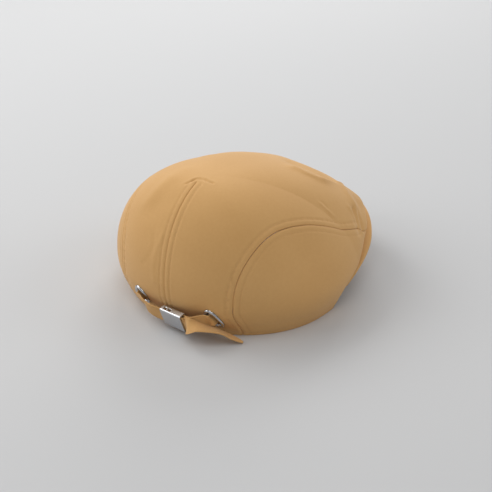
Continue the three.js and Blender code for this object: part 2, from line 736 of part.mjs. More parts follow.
addPiece("crown_panel", topPanel(), cloth());
addPiece("side_panel_left", sidePanel(1), cloth());
addPiece("side_panel_right", sidePanel(-1), cloth());
addPiece("peak", peak(), cloth());
addPiece("strap_fixed", fixedStrap(), cloth());
addPiece("strap_adjuster", adjusterStrap(), cloth());
addPiece("buckle", buckle(), steel());
for (const eyelet of EYELETS) addPiece(`eyelet_${eyelet.side}`, eyeletRing(eyelet), steel());

// The origin is on the floor, under the middle of the cap's length and width.
const box = new THREE.Box3().setFromObject(cap);
const middle = box.getCenter(new THREE.Vector3());
cap.position.set(-middle.x, -middle.y, -box.min.z);

export default cap;
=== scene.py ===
# %% [markdown]
# # A cloth flat cap with a buckled back strap
#
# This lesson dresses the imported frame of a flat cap. The frame already holds every piece at its
# real size: a long top panel, two side panels, a stiff peak, two eyelets, two straps and a
# buckle. Here each cloth piece is made again as a finely divided surface, because sewn cloth
# lives from its seams, its stitches and its soft dents. Work is in metres, with +X to the
# front, +Y to the wearer's left and +Z up.

import bpy
import numpy as np
from mathutils import Matrix, Vector


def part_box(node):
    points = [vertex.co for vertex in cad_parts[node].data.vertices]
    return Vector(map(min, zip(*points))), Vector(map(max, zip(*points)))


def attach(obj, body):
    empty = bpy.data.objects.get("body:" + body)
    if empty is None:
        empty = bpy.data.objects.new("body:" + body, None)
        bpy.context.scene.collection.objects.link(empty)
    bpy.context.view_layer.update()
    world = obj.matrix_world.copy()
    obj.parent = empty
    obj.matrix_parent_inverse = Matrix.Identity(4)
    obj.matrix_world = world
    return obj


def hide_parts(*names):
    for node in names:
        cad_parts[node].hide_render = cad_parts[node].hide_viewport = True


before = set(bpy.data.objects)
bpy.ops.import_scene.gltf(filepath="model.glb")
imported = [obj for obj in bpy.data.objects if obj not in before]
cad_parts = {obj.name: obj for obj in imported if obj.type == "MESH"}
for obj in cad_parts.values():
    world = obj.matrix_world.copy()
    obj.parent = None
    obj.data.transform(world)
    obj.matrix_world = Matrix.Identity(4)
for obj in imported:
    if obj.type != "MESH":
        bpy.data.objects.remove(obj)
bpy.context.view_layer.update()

_, CROWN_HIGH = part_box("crown_panel")

# %% [markdown]
# ## The shape of the crown
#
# A flat cap is a soft dome that leans forwards. The hem in plan is a short half oval at the back
# and a longer one at the front. From the hem the wall stands out over a low bulge, and
# then rounds over to a summit behind the middle. Two parameters name each place: a panel angle,
# 0 at the front and 180 at the back, and a rise from 0 at the hem to 1 at the summit. One
# formula for the whole dome keeps the three panels exactly in line at their seams. Each panel
# could be sculpted on its own, but then the seams would have to be matched by hand.

# %% Driving sizes of the crown, in metres and degrees
HEM_FRONT, HEM_SIDE, HEM_BACK = 0.127, 0.100, 0.088
FRONT_ROUNDNESS = 2.02
SUMMIT_X = -0.0338
SUMMIT_Z = CROWN_HIGH[2]
BULGE = dict(front=-0.0016, side=0.011, back=0.012)
BULGE_HEIGHT = dict(front=0.0085, side=0.031, back=0.0327)
FULLNESS = dict(front=1.29, side=1.74, back=2.3)
BULGE_RISE = 0.2
BULGE_ABOVE_HEM = 0.009
LIFT_FROM, LIFT_HEIGHT, LIFT_POWER = 0.020, 0.0474, 0.43
PANEL_TWIST, TWIST_SPAN = 6.5, 120
CLOTH, HEM_CLOTH = 0.002, 0.003


def smooth(t):
    """Zero below 0, one above 1, and the even curve 3t^2 - 2t^3 between."""
    t = np.clip(t, 0, 1)
    return t * t * (3 - 2 * t)


def fold_angle(angle):
    """The same direction as a number from -180 to 180 degrees."""
    return (np.asarray(angle, float) + 180) % 360 - 180


def hem_point(head_angle):
    """The hem in plan: a superellipse at the front, an ellipse behind, lifted towards the front."""
    turn = np.radians(head_angle)
    c, s = np.cos(turn), np.sin(turn)
    reach = np.where(c > 0, HEM_FRONT, HEM_BACK)
    power = np.where(c > 0, FRONT_ROUNDNESS, 2.0)
    r = (np.abs(c) ** power + np.abs(s) ** power + 1e-12) ** (-1 / power)
    x, y = reach * r * c, HEM_SIDE * r * s
    lift = smooth((x - LIFT_FROM) / (HEM_FRONT - LIFT_FROM))
    return x, y, LIFT_HEIGHT * lift**LIFT_POWER


def body(head_angle, rise):
    """The plain dome: sine-shaped bulge under BULGE_RISE, a full quarter oval above it."""
    c = np.cos(np.radians(head_angle))
    share = dict(front=np.maximum(c, 0) ** 2, side=1 - c * c, back=np.maximum(-c, 0) ** 2)
    mix = lambda table: sum(share[key] * table[key] for key in share)
    x, y, z = hem_point(head_angle)
    reach = np.hypot(x - SUMMIT_X, y)
    bulge_z = np.maximum(mix(BULGE_HEIGHT) + share["front"] * z, z + BULGE_ABOVE_HEM)
    low = np.clip(rise / BULGE_RISE, 0, 1)
    inward = np.cos(np.clip((rise - BULGE_RISE) / (1 - BULGE_RISE), 0, 1) * np.pi / 2)
    below = reach + mix(BULGE) * np.sin(low * np.pi / 2)
    above = (reach + mix(BULGE)) * inward
    distance = np.where(rise < BULGE_RISE, below, above)
    dome = np.clip(1 - inward**2, 0, 1) ** (1 / mix(FULLNESS))
    height = np.where(rise < BULGE_RISE, z + (bulge_z - z) * low, bulge_z + (SUMMIT_Z - bulge_z) * dome)
    out_x, out_y = (x - SUMMIT_X) / reach, y / reach
    return np.stack([SUMMIT_X + out_x * distance, out_y * distance, height], -1)


# %% [markdown]
# ## The sewn lines
#
# The side panels are crescents, so their seam climbs steeply from the hem at the back, arches
# over the ear and runs down to a corner at the front. It is a quarter oval and a quarter
# cosine. The panels sit a little turned on the head, which one smooth turn brings in. Between
# the eyelets the strap draws the cloth in.

# %% The side seam, the twist and the pull of the strap
SEAM_FRONT, SEAM_FRONT_EASE = (60.7, 0.322), 1.27
SEAM_TOP = (108.3, 0.59)
SEAM_BACK = (149.1, 0.2)
SEAM_BOW = dict(out=1.16, at_hem=6.8, up_to=0.2, spread=18)
SEAM_LEAN = dict(at_hem=14, spread=20)
EYELETS = {
    "left": dict(angle=165.2, rise=0.122, pull=0.0),
    "right": dict(angle=201.5, rise=0.122, pull=0.3),
}
PULL_SPREAD = 0.009
GATHER = dict(angle=183.6, half_span=27, depth=0.005, rise=0.26)


def seam_rise(angle):
    """A quarter oval behind the seam's top, an eased quarter cosine in front of it."""
    angle = np.asarray(angle, float)
    back = np.clip((angle - SEAM_TOP[0]) / (SEAM_BACK[0] - SEAM_TOP[0]), 0, 1)
    front = np.clip((SEAM_TOP[0] - angle) / (SEAM_TOP[0] - SEAM_FRONT[0]), 0, 1)
    behind = SEAM_BACK[1] + (SEAM_TOP[1] - SEAM_BACK[1]) * np.sqrt(1 - back**2)
    drop = (1 - np.cos(front * np.pi / 2)) ** SEAM_FRONT_EASE
    ahead = SEAM_TOP[1] - (SEAM_TOP[1] - SEAM_FRONT[1]) * drop
    return np.where(angle > SEAM_TOP[0], behind, ahead)


def head_angle_of(panel_angle, rise):
    """A panel angle bows along the seam's back end, leans at its front end, and is twisted."""
    angle = fold_angle(panel_angle)
    out = SEAM_BOW["out"] * np.sin(np.pi * np.minimum(rise / SEAM_BACK[1], 1))
    bow = out - SEAM_BOW["at_hem"] * (1 - smooth(rise / SEAM_BOW["up_to"]))
    behind = (np.abs(angle) - SEAM_BACK[0]) / SEAM_BOW["spread"]
    lean = SEAM_LEAN["at_hem"] * np.maximum(1 - rise / SEAM_FRONT[1], 0)
    before = (np.abs(angle) - SEAM_FRONT[0]) / SEAM_LEAN["spread"]
    turned = angle + np.sign(angle) * (bow * np.exp(-(behind**2)) - lean * np.exp(-(before**2)))
    return turned + PANEL_TWIST * smooth(np.abs(turned) / TWIST_SPAN)


def strap_pull(panel_angle, rise, points):
    """A cosine hollow between the eyelets, and a slope across the right one."""
    from_middle = fold_angle(panel_angle - GATHER["angle"]) / GATHER["half_span"]
    hollow = np.cos(np.clip(np.abs(from_middle), 0, 1) * np.pi / 2) ** 2
    pull = -GATHER["depth"] * hollow * (1 - smooth(rise / GATHER["rise"]))
    for eyelet in EYELETS.values():
        centre = body(head_angle_of(eyelet["angle"], eyelet["rise"]), eyelet["rise"])
        outside = (eyelet["angle"] - GATHER["angle"]) * fold_angle(panel_angle - eyelet["angle"])
        flat = np.hypot(points[..., 0] - centre[0], points[..., 1] - centre[1])
        away = np.linalg.norm(points - centre, axis=-1)
        pull += eyelet["pull"] * np.sign(outside) * flat * np.exp(-((away / PULL_SPREAD) ** 2) / 2)
    return pull


# Soft folds: from and to as (head angle, rise), then height and width in millimetres.
FOLDS = [
    ((-27, 0.69), (-38.5, 0.6), 2, 6),  # ridge over the front
    ((-37.5, 0.57), (-30, 0.46), 1.4, 6),  # its lower end
    ((-10, 0.64), (-29, 0.53), -3, 8),  # hollow beyond the ridge
    ((-36, 0.45), (-46, 0.41), 1.4, 7),  # edge of the front corner
    ((-41, 0.3), (-51, 0.27), -2.4, 8),  # hollow under it
    ((-52, 0.38), (-58, 0.32), -2, 6),  # pinch at the seam's front end
    ((-32, 0.2), (-48, 0.12), 3.8, 11),  # roll over the peak
    ((0, 0.5), (-18, 0.44), -3, 13),  # hollow in the front
    ((50, 0.69), (30, 0.63), -2.2, 14),  # hollow on the left
    ((177, 0.71), (162, 0.57), -0.4, 9),  # hollow beside the back seam
    ((145, 0.81), (159, 0.63), 1.0, 9),  # ridge beside the hollow
]
FOLD_CENTRE = np.array([SUMMIT_X, 0, 0.040])


def distance_to_segment(points, start, end):
    """Distance from points to a straight piece of line."""
    way = end - start
    t = np.clip(((points - start) @ way) / (way @ way), 0, 1)
    return np.linalg.norm(points - start - t[..., None] * way, axis=-1)


def fold_height(points):
    """The sum of bell curves across the soft folds."""
    total = np.zeros(points.shape[:-1])
    for start, end, height, width in FOLDS:
        away = distance_to_segment(points, body(*map(np.float64, start)), body(*map(np.float64, end)))
        total += height / 1000 * np.exp(-((away * 1000 / width) ** 2))
    return total


def crown(panel_angle, rise):
    """The plain outside of the cap at a panel angle and a rise."""
    panel_angle, rise = np.broadcast_arrays(np.asarray(panel_angle, float), np.asarray(rise, float))
    points = body(head_angle_of(panel_angle, rise), rise)
    level = (points - FOLD_CENTRE) * (1, 1, 0)
    level /= np.linalg.norm(level, axis=-1, keepdims=True) + 1e-9
    away = points - FOLD_CENTRE
    away /= np.linalg.norm(away, axis=-1, keepdims=True)
    pull = np.where(rise > 2 * BULGE_RISE, 0, strap_pull(panel_angle, rise, points))
    return points + level * pull[..., None] + away * fold_height(points)[..., None] + SHIFT


SHIFT = np.zeros(3)
sample = crown(*np.meshgrid(np.linspace(-180, 180, 361), np.linspace(0, 1, 101)))
side_box = [np.array(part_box("side_panel_" + side)) for side in ("left", "right")]
cad_middle_y = (side_box[0][1][1] + side_box[1][0][1]) / 2
SHIFT = np.array([
    CROWN_HIGH[0] - sample[..., 0].max(),
    cad_middle_y - (sample[..., 1].max() + sample[..., 1].min()) / 2,
    0.0,
])
print("the frame's origin lies", np.round(1000 * SHIFT, 1), "mm from the middle of the hem's arcs")


# %% [markdown]
# ## Helpers for surfaces
#
# Every cloth piece is a grid of points that numpy works out at once. A shell joins an outer
# and an inner grid along all free edges, so that each piece is closed cloth with a real
# thickness. Faces point outwards because the outer grid is wound that way and the inner one is
# reversed. A Solidify modifier could thicken a single sheet too. Here the lining is a grid of its
# own, because the hem is folded and thicker than the rest.

# %% Grids, shells and their meshes
def grid_faces(rows, columns, closed=False):
    """Four-cornered faces of a grid whose points run along the columns first."""
    i, j = np.meshgrid(np.arange(rows - 1), np.arange(columns if closed else columns - 1), indexing="ij")
    a = i * columns + j
    b = i * columns + (j + 1) % columns
    return np.stack([a, b, b + columns, a + columns], -1).reshape(-1, 4)


def free_edges(faces):
    """Directed edges that no neighbouring face runs through the other way."""
    pairs = np.stack([faces, np.roll(faces, -1, 1)], -1).reshape(-1, 2).astype(np.int64)
    pairs = pairs[pairs[:, 0] != pairs[:, 1]]
    size = faces.max() + 1
    forth = pairs[:, 0] * size + pairs[:, 1]
    back = pairs[:, 1] * size + pairs[:, 0]
    return pairs[~np.isin(forth, back)]


def weld(points, faces, tolerance):
    """Points closer than the tolerance become one. Returns the kept indices and new faces."""
    keys = np.round(points / tolerance).astype(np.int64)
    _, first, to_new = np.unique(keys, axis=0, return_index=True, return_inverse=True)
    return first, to_new.reshape(-1)[faces]


def add_mesh(name, points, faces, uv=None):
    """A mesh object from arrays. A corner that repeats in a face makes it a triangle."""
    repeat = faces == np.roll(faces, -1, 1)
    used = np.unique(faces)
    new = np.zeros(len(points), int)
    new[used] = np.arange(len(used))
    points, faces = points[used], new[faces]
    polygons = [tuple(f[~r]) for f, r in zip(faces, repeat)] if repeat.any() else faces.tolist()
    mesh = bpy.data.meshes.new(name)
    mesh.from_pydata(points.tolist(), [], polygons)
    if uv is not None:
        loops = np.empty(len(mesh.loops), np.int32)
        mesh.loops.foreach_get("vertex_index", loops)
        layer = mesh.uv_layers.new(name="UVMap")
        layer.data.foreach_set("uv", uv[used][loops].astype(np.float32).ravel())
    mesh.polygons.foreach_set("use_smooth", np.ones(len(mesh.polygons), bool))
    mesh.update()
    piece = bpy.data.objects.new(name, mesh)
    bpy.context.scene.collection.objects.link(piece)
    return piece


def shell(name, outside, inside, faces, uv):
    """Closed cloth between two matching sheets, with a strip along every free edge."""
    n = len(outside)
    edges = free_edges(faces)
    rim = np.stack([edges[:, 1], edges[:, 0], n + edges[:, 0], n + edges[:, 1]], -1)
    every = np.concatenate([faces, n + faces[:, ::-1], rim])
    return add_mesh(name, np.concatenate([outside, inside]), every, np.concatenate([uv, uv]))


def spaced(low, high, count, dense=(), width=1.0, strength=3.0):
    """Count values from low to high, closer together round each dense place."""
    fine = np.linspace(low, high, 4001)
    weight = np.ones_like(fine)
    for place in dense:
        weight += strength * np.exp(-(((fine - place) / width) ** 2))
    total = np.concatenate([[0], np.cumsum((weight[1:] + weight[:-1]) / 2)])
    return np.interp(np.linspace(0, total[-1], count), total, fine)


def arc_length(points):
    """Distance run along a line of points."""
    steps = np.linalg.norm(np.diff(points, axis=0), axis=1)
    return np.concatenate([[0], np.cumsum(steps)])


def nearest_on(points, line):
    """Distance to a line of points, and how far along it the nearest place is."""
    run = arc_length(line)
    start, way = line[:-1], np.diff(line, axis=0)
    length2 = (way**2).sum(1) + 1e-18
    away = np.empty(len(points))
    along = np.empty(len(points))
    for part in np.array_split(np.arange(len(points)), max(1, len(points) // 3000)):
        offset = points[part, None] - start[None]
        t = np.clip((offset * way).sum(-1) / length2, 0, 1)
        gap = np.linalg.norm(offset - t[..., None] * way, axis=-1)
        best = gap.argmin(1)
        rows = np.arange(len(part))
        away[part] = gap[rows, best]
        along[part] = run[best] + t[rows, best] * np.sqrt(length2[best])
    return away, along


# %% [markdown]
# ## Sewn lines
#
# Each side seam climbs from the hem at the back, arches over the ear and comes down to a
# pinched corner at the front, where it turns under to the peak. A dart closes the middle of
# the back and ends in a short bar of stitches on top. Both have a row of stitches on each
# side. The lines are worked out on the plain dome first, because the relief, the stitches and
# the panels' edges all follow them.

# %% The lines on the dome
DART_TOP = 0.905
ARCH_POINTS = 400


def seam_angles():
    """Panel angle and rise along the left seam: up from the hem, then over the arch."""
    arch = SEAM_BACK[0] + (SEAM_FRONT[0] - SEAM_BACK[0]) * np.linspace(0, 1, ARCH_POINTS) ** 1.6
    up = np.linspace(0, SEAM_BACK[1], 60, endpoint=False)
    return np.concatenate([np.full(60, SEAM_BACK[0]), arch]), np.concatenate([up, seam_rise(arch)])


SEAM_ANGLE, SEAM_RISE = seam_angles()
SIDES = {"left": 1, "right": -1}
SEAM_LINES = {side: crown(sign * SEAM_ANGLE, SEAM_RISE) for side, sign in SIDES.items()}
CORNER_LINES = {
    side: crown(np.full(40, sign * SEAM_FRONT[0]), np.linspace(0, SEAM_FRONT[1], 40))
    for side, sign in SIDES.items()
}
HEM_LINE = crown(np.linspace(-180, 180, 361), np.zeros(361))
DART_LINE = crown(np.full(160, 180.0), np.linspace(0, DART_TOP, 160))
print("side seam, mm:", round(1000 * arc_length(SEAM_LINES["left"])[-1]))
print("back seam, mm:", round(1000 * arc_length(DART_LINE)[-1]))


def head_line(*places):
    """A line over the head through places given as head angle and rise, 12 points a step."""
    places = np.array(places, float)
    along = np.arange(len(places))
    fine = np.linspace(0, len(places) - 1, 12 * (len(places) - 1) + 1)
    return body(np.interp(fine, along, places[:, 0]), np.interp(fine, along, places[:, 1])) + SHIFT


DART_BAR = head_line(
    (173, 0.858), (174.5, 0.89), (176, 0.92), (181, 0.939), (204, 0.949), (220, 0.926), (228, 0.915),
)

# %% [markdown]
# ## Relief of the cloth
#
# Seams show as a narrow valley between two soft welts, with the stitches in a shallow furrow on
# each side. The top panel's furrow is wider and more puckered, because its longer edge is eased
# into the shorter one of the side panel. Small creases follow lines of their own. All of it is a
# height above the plain dome, worked out from the distance to each line. A bump texture could
# draw the same lines, but real height also catches the light at the outline.

# %% The height of the relief
SEAM_ROW, DART_ROW = 0.0057, 0.0052  # from the seam to its stitches


def hump(t):
    """A bell curve, one at zero."""
    return np.exp(-(t**2))


def ripples(along, seed, step=0.006):
    """Uneven waves along a seam: three sines whose lengths don't fit each other."""
    phase = 2 * np.pi * np.random.default_rng(seed).random(3)
    waves = [np.sin(2 * np.pi * along / (step * k) + p) for k, p in zip((1.0, 1.73, 0.58), phase)]
    return 0.5 * waves[0] + 0.35 * waves[1] + 0.25 * waves[2]


def seam_relief(away, along, row, seed, soft):
    """Valley at the seam, welt, stitch furrow and puckers. Soft, 0 to 1, widens the furrow."""
    valley = -0.0006 * hump(away / 0.0005) - 0.00012 * hump(away / 0.0016)
    welt = 0.00022 * hump((away - row * 0.5) / (row * 0.36))
    worn = 0.55 + 0.45 * hump((along - 0.055) / 0.035)
    furrow = -(0.00046 - 0.00006 * soft) * worn * hump((away - row) / (0.0007 + 0.0006 * soft))
    lip = 0.00008 * hump((away - row - 0.0022) / 0.0014)
    pucker = (0.00006 + 0.00026 * soft) * worn * ripples(along, seed) * hump((away - row * 0.9) / 0.0026)
    return valley + welt + furrow + lip + pucker


# Creases: the line over the head, then height and half-width, in mm.
CREASES = [
    (head_line((-27, 0.691), (-32, 0.67), (-36.5, 0.648), (-39, 0.61), (-39, 0.578)), 1.2, 1.9),
    (head_line((-39, 0.578), (-35, 0.53), (-31.5, 0.481), (-29.5, 0.433)), 0.7, 2.0),
    (head_line((-17, 0.65), (-21, 0.635), (-27, 0.603), (-31.5, 0.56), (-32, 0.50)), -1.3, 3.4),
    (head_line((111, 0.881), (145, 0.814), (156.5, 0.721), (159.5, 0.65), (159, 0.58)), 0.5, 8.0),
    (head_line((-34.8, 0.448), (-41, 0.444), (-44.5, 0.419), (-47, 0.379), (-48.2, 0.335)), 0.7, 2.4),
    (head_line((-50.2, 0.400), (-53.5, 0.362), (-56.6, 0.33)), -2.0, 1.5),
    (head_line((-47, 0.35), (-51, 0.31), (-54.5, 0.27)), -1.8, 2.3),
    (head_line((-52.5, 0.441), (-54.8, 0.399), (-57, 0.356)), 1.1, 1.8),
    (head_line((-49, 0.380), (-52.2, 0.345)), 0.8, 1.4),
    (head_line((-64.0, 0.586), (-65.4, 0.547), (-66, 0.51)), 0.5, 1.6),
    (head_line((-62.6, 0.580), (-64, 0.55)), -0.4, 1.6),
    (head_line((-67.3, 0.54), (-68, 0.51)), -0.4, 1.6),
    (head_line((-98.2, 0.57), (-103, 0.52)), -0.45, 2.6),
    (head_line((-177.8, 0.498), (-179.3, 0.4), (-180, 0.309), (-179, 0.24)), 0.4, 2.4),
    (head_line((176.2, 0.526), (178.8, 0.411), (177.2, 0.355), (174, 0.3)), -0.3, 1.6),
]


def crease_height(points):
    """The sum of bell curves across the creases."""
    total = np.zeros(len(points))
    for line, height, width in CREASES:
        near = np.linalg.norm(points - line.mean(0), axis=1) < 0.06
        away, _ = nearest_on(points[near], line)
        total[near] += height / 1000 * hump(away * 1000 / width)
    return total


def crown_relief(points, soft):
    """Height of everything sewn or creased at points on the plain dome."""
    height = crease_height(points)
    for seed, side in ((3, "left"), (5, "right")):
        away, along = nearest_on(points, SEAM_LINES[side])
        height += seam_relief(away, along, SEAM_ROW, seed, soft)
        away, _ = nearest_on(points, CORNER_LINES[side])
        height -= 0.0006 * hump(away / 0.0006)
    away, along = nearest_on(points, DART_LINE)
    height += seam_relief(away, along, DART_ROW, 7, 0.4)
    away, _ = nearest_on(points, HEM_LINE)
    height += 0.00035 * (1 - smooth((away - 0.0022) / 0.0010)) - 0.0002 * hump((away - 0.0034) / 0.0007)
    away, along = nearest_on(points, DART_BAR)
    bar = 0.6 + 0.4 * ripples(along, 11)
    return height - 0.0012 * hump(away / 0.0010) * bar + 0.0003 * hump((away - 0.0028) / 0.0014) * bar


def surface_normal(panel_angle, rise):
    """Unit normal of the plain dome, from small steps round it and up it."""
    low, high = np.clip(rise - 0.003, 0, 0.993), np.clip(rise + 0.003, 0, 0.9999)
    level = np.minimum(rise, 0.995)
    along = crown(panel_angle + 0.3, level) - crown(panel_angle - 0.3, level)
    upward = crown(panel_angle, high) - crown(panel_angle, low)
    normal = np.cross(along, upward)
    normal /= np.linalg.norm(normal, axis=-1, keepdims=True) + 1e-15
    normal[rise > 0.995] = (0, 0, 1)
    return normal


def skin(panel_angle, rise, soft):
    """The finished outside of the cloth and its plain normal."""
    plain = crown(panel_angle, rise)
    normal = surface_normal(panel_angle, rise)
    hem = 0.0003 * hump((rise - 0.035) / 0.02) - 0.00025 * hump((rise - 0.075) / 0.009)
    return plain + normal * (crown_relief(plain, soft) + hem)[:, None], normal


def lining(panel_angle, rise):
    """The inside of the cloth, level with the outside at the hem and thicker there."""
    normal = surface_normal(panel_angle, rise)
    level = normal * (1, 1, 0)
    level /= np.linalg.norm(level, axis=-1, keepdims=True) + 1e-9
    fold = 1 - smooth(rise / 0.05)
    normal = np.where((rise < 1e-6)[:, None], level, normal)
    return crown(panel_angle, rise) - normal * (CLOTH + (HEM_CLOTH - CLOTH) * fold)[:, None]


# %% [markdown]
# ## Eyelets on the cloth
#
# Two oval metal eyelets lean towards each other at the back. Each one needs a hole in the top
# panel. Here the panel simply leaves out the faces inside the oval, before the shell is closed,
# and the metal flange covers the stepped edge, as a real flange covers a cut one. A Boolean cut
# would be cleaner at the edge, but would break the even grid that the relief needs.

# %% Places round an eyelet
HOLE_WIDTH, HOLE_LENGTH, EYELET_LEAN = 0.0102, 0.0166, 35


def eyelet_scale(eyelet):
    """Metres per degree and per unit of rise at an eyelet."""
    a, r = eyelet["angle"], eyelet["rise"]
    round_it = crown(a + 1, r) - crown(a - 1, r)
    up_it = crown(a, r + 0.01) - crown(a, r - 0.01)
    return np.linalg.norm(round_it) / 2, np.linalg.norm(up_it) / 0.02


def oval_share(eyelet, panel_angle, rise, spread):
    """Below one inside the eyelet's leaning oval, made larger by spread."""
    per_degree, per_rise = eyelet_scale(eyelet)
    along = fold_angle(panel_angle - eyelet["angle"]) * per_degree
    up = (rise - eyelet["rise"]) * per_rise
    c, s = np.cos(np.radians(EYELET_LEAN)), np.sin(np.radians(EYELET_LEAN))
    wide, long = along * c + up * s, up * c - along * s
    return (wide / (HOLE_WIDTH / 2 + spread)) ** 2 + (long / (HOLE_LENGTH / 2 + spread)) ** 2


def on_cloth(eyelet, along, up, off):
    """A point off the plain cloth, along it and up it from the eyelet's centre."""
    per_degree, per_rise = eyelet_scale(eyelet)
    angle, rise = eyelet["angle"] + along / per_degree, eyelet["rise"] + up / per_rise
    return crown(angle, rise) + surface_normal(angle, rise) * np.asarray(off)[..., None]


def round_eyelet(eyelet, turn, spread, off):
    """A point round the oval: turn in radians, spread outside its edge, off the cloth."""
    wide, long = (HOLE_WIDTH / 2 + spread) * np.cos(turn), (HOLE_LENGTH / 2 + spread) * np.sin(turn)
    c, s = np.cos(np.radians(EYELET_LEAN)), np.sin(np.radians(EYELET_LEAN))
    return on_cloth(eyelet, wide * c - long * s, wide * s + long * c, off)


# %% [markdown]
# ## The crown panels
#
# The top panel runs from the peak over the head and down the back. Its grid is a dome of
# columns that start at the side seams, with a skirt down to the hem at the front and another
# at the back. The side panels fill the arches. The columns crowd together near the seams and
# the back seam, where the relief is narrow. An even grid would also work, but it would need
# several times the faces for the same seams.

# %% Columns shared by the panels
ARCH_COLUMNS, FRONT_COLUMNS, BACK_COLUMNS = 110, 80, 110
SKIRT_ROWS, DOME_ROWS, SIDE_ROWS = 46, 92, 74
GROOVE_ANGLE, GROOVE_RISE = 0.07, 0.0008  # left open on each side of a seam


def arch_angles(count):
    """Angles along the arch, evenly spaced along its real length."""
    run = arc_length(SEAM_LINES["left"][60:])
    return np.interp(np.linspace(0, run[-1], count), run, SEAM_ANGLE[60:])


ARCH = arch_angles(ARCH_COLUMNS)


def top_columns():
    """Angle and lowest rise of every column round the cap."""
    edge = SEAM_FRONT[0] - GROOVE_ANGLE
    front = spaced(-edge, edge, FRONT_COLUMNS, (-60.7, -50, -36, 36, 50, 60.7), 5.0, 1.6)
    edge = SEAM_BACK[0] + GROOVE_ANGLE
    back = spaced(edge, 360 - edge, BACK_COLUMNS, (149.1, 180, 210.9), 4.5, 3.0)
    left, right = ARCH[-2:0:-1], 360 - ARCH[1:-1]
    start = [np.full(FRONT_COLUMNS, SEAM_FRONT[1]), seam_rise(left)]
    start += [np.full(BACK_COLUMNS, SEAM_BACK[1]), seam_rise(360 - right)]
    return np.concatenate([front, left, back, right]), np.concatenate(start) + GROOVE_RISE


def top_panel():
    """Dome columns over the whole cap, with a skirt at the front and at the back."""
    angle, start = top_columns()
    up = spaced(0, 1, DOME_ROWS, (0,), 0.09, 3.5)[:, None]
    rise = start + (0.9995 - start) * up
    parts = [(np.broadcast_to(angle, rise.shape), rise, True)]
    first_back = FRONT_COLUMNS + ARCH_COLUMNS - 2
    for columns in (slice(0, FRONT_COLUMNS), slice(first_back, first_back + BACK_COLUMNS)):
        skirt = spaced(0, 1, SKIRT_ROWS, (0, 1), 0.08, 1.0)[:, None] * start[columns]
        parts.append((np.broadcast_to(angle[columns], skirt.shape), skirt, False))
    angles, rises, faces, offset = [], [], [], 0
    for part_angle, part_rise, closed in parts:
        angles.append(part_angle.ravel())
        rises.append(part_rise.ravel())
        faces.append(offset + grid_faces(*part_rise.shape, closed))
        offset += part_rise.size
    # One point closes the summit.
    last_row = np.arange(len(angle)) + (DOME_ROWS - 1) * len(angle)
    fan = np.stack([last_row, np.roll(last_row, -1), np.full(len(angle), offset)], -1)
    faces.append(fan[:, [0, 1, 2, 2]])
    angles, rises = np.append(np.concatenate(angles), 0.0), np.append(np.concatenate(rises), 1.0)
    kept, faces = weld(np.stack([angles % 360 / 100, rises], -1), np.concatenate(faces), 1e-6)
    return angles[kept], rises[kept], faces


def without_holes(angles, rises, faces):
    """Leaves out the faces whose middle lies in an eyelet's oval."""
    middle_angle = (fold_angle(angles[faces] - 180)).mean(1) + 180
    middle_rise = rises[faces].mean(1)
    for eyelet in EYELETS.values():
        open_face = oval_share(eyelet, middle_angle, middle_rise, 0.0006) < 1
        faces, middle_angle, middle_rise = (part[~open_face] for part in (faces, middle_angle, middle_rise))
    return faces


def unrolled(points):
    """A flat map of the dome: distance from the summit, in its direction."""
    flat = points - np.array([SUMMIT_X, 0, SUMMIT_Z]) - SHIFT
    reach = np.hypot(flat[:, 0], flat[:, 1])
    run = reach + 0.75 * np.maximum(-flat[:, 2], 0)
    return flat[:, :2] / (reach[:, None] + 1e-9) * run[:, None]


angles, rises, faces = top_panel()
outer, _ = skin(angles, rises, 1.0)
top_faces = without_holes(angles, rises, faces)
top_piece = shell("cap_top_panel", outer, lining(angles, rises), top_faces, unrolled(outer))
print("top panel faces:", len(top_piece.data.polygons))


# %% The side panels
def side_panel(side):
    """Columns from the hem up to the seam, from the back to the front, crowded at both ends."""
    extra = np.array([0.25, 0.55, 0.9, 1.3, 1.8, 2.4, 3.0, 3.7, 4.4, 5.2])
    low, high = SEAM_FRONT[0] + GROOVE_ANGLE, SEAM_BACK[0] - GROOVE_ANGLE
    angle = np.unique(np.concatenate([np.clip(ARCH, low, high), low + extra, high - extra]))[::-1]
    up = spaced(0, 1, SIDE_ROWS, (0, 1), 0.1, 2.5)
    rise = (seam_rise(angle) - GROOVE_RISE)[:, None] * up
    faces = grid_faces(*rise.shape)
    if side > 0:
        faces = faces[:, ::-1]
    return np.broadcast_to(side * angle[:, None], rise.shape).ravel(), rise.ravel(), faces


side_pieces = []
for side, sign in SIDES.items():
    angles, rises, faces = side_panel(sign)
    outer, _ = skin(angles, rises, 0.0)
    flat_map = np.stack([np.radians(np.abs(angles)) * 0.1, outer[:, 2]], -1)
    side_pieces.append(shell("cap_side_panel_" + side, outer, lining(angles, rises), faces, flat_map))
    print(side_pieces[-1].name, "faces:", len(side_pieces[-1].data.polygons))

# %% [markdown]
# ## The peak
#
# The peak is a stiff crescent under the front of the crown. Its upper face starts well inside
# the hem and fades away at both temples. One closed profile is worked out for each direction:
# flat above, a half circle at the edge and flat below. A fine groove in the middle of the edge
# shows where the upper and the lower cloth meet. A flat crescent with a Solidify modifier would
# be quicker, but its edge would be square.

# %% Closed sweeps, and the peak
PEAK = dict(half_angle=72, reach=0.0127, full_to=48, fade_to=77, depth=0.034, corner=0.004)
PEAK_GAP, PEAK_THICKNESS, PEAK_SLOPE = 0.0008, 0.003, 0.1


def outward(points, faces):
    """The faces, turned over if the solid that they close has a negative volume."""
    a, b, c, d = (points[faces[:, k]] for k in range(4))
    volume = (np.cross(a, b) * c).sum() + (np.cross(a, c) * d).sum()
    return faces if volume > 0 else faces[:, ::-1]


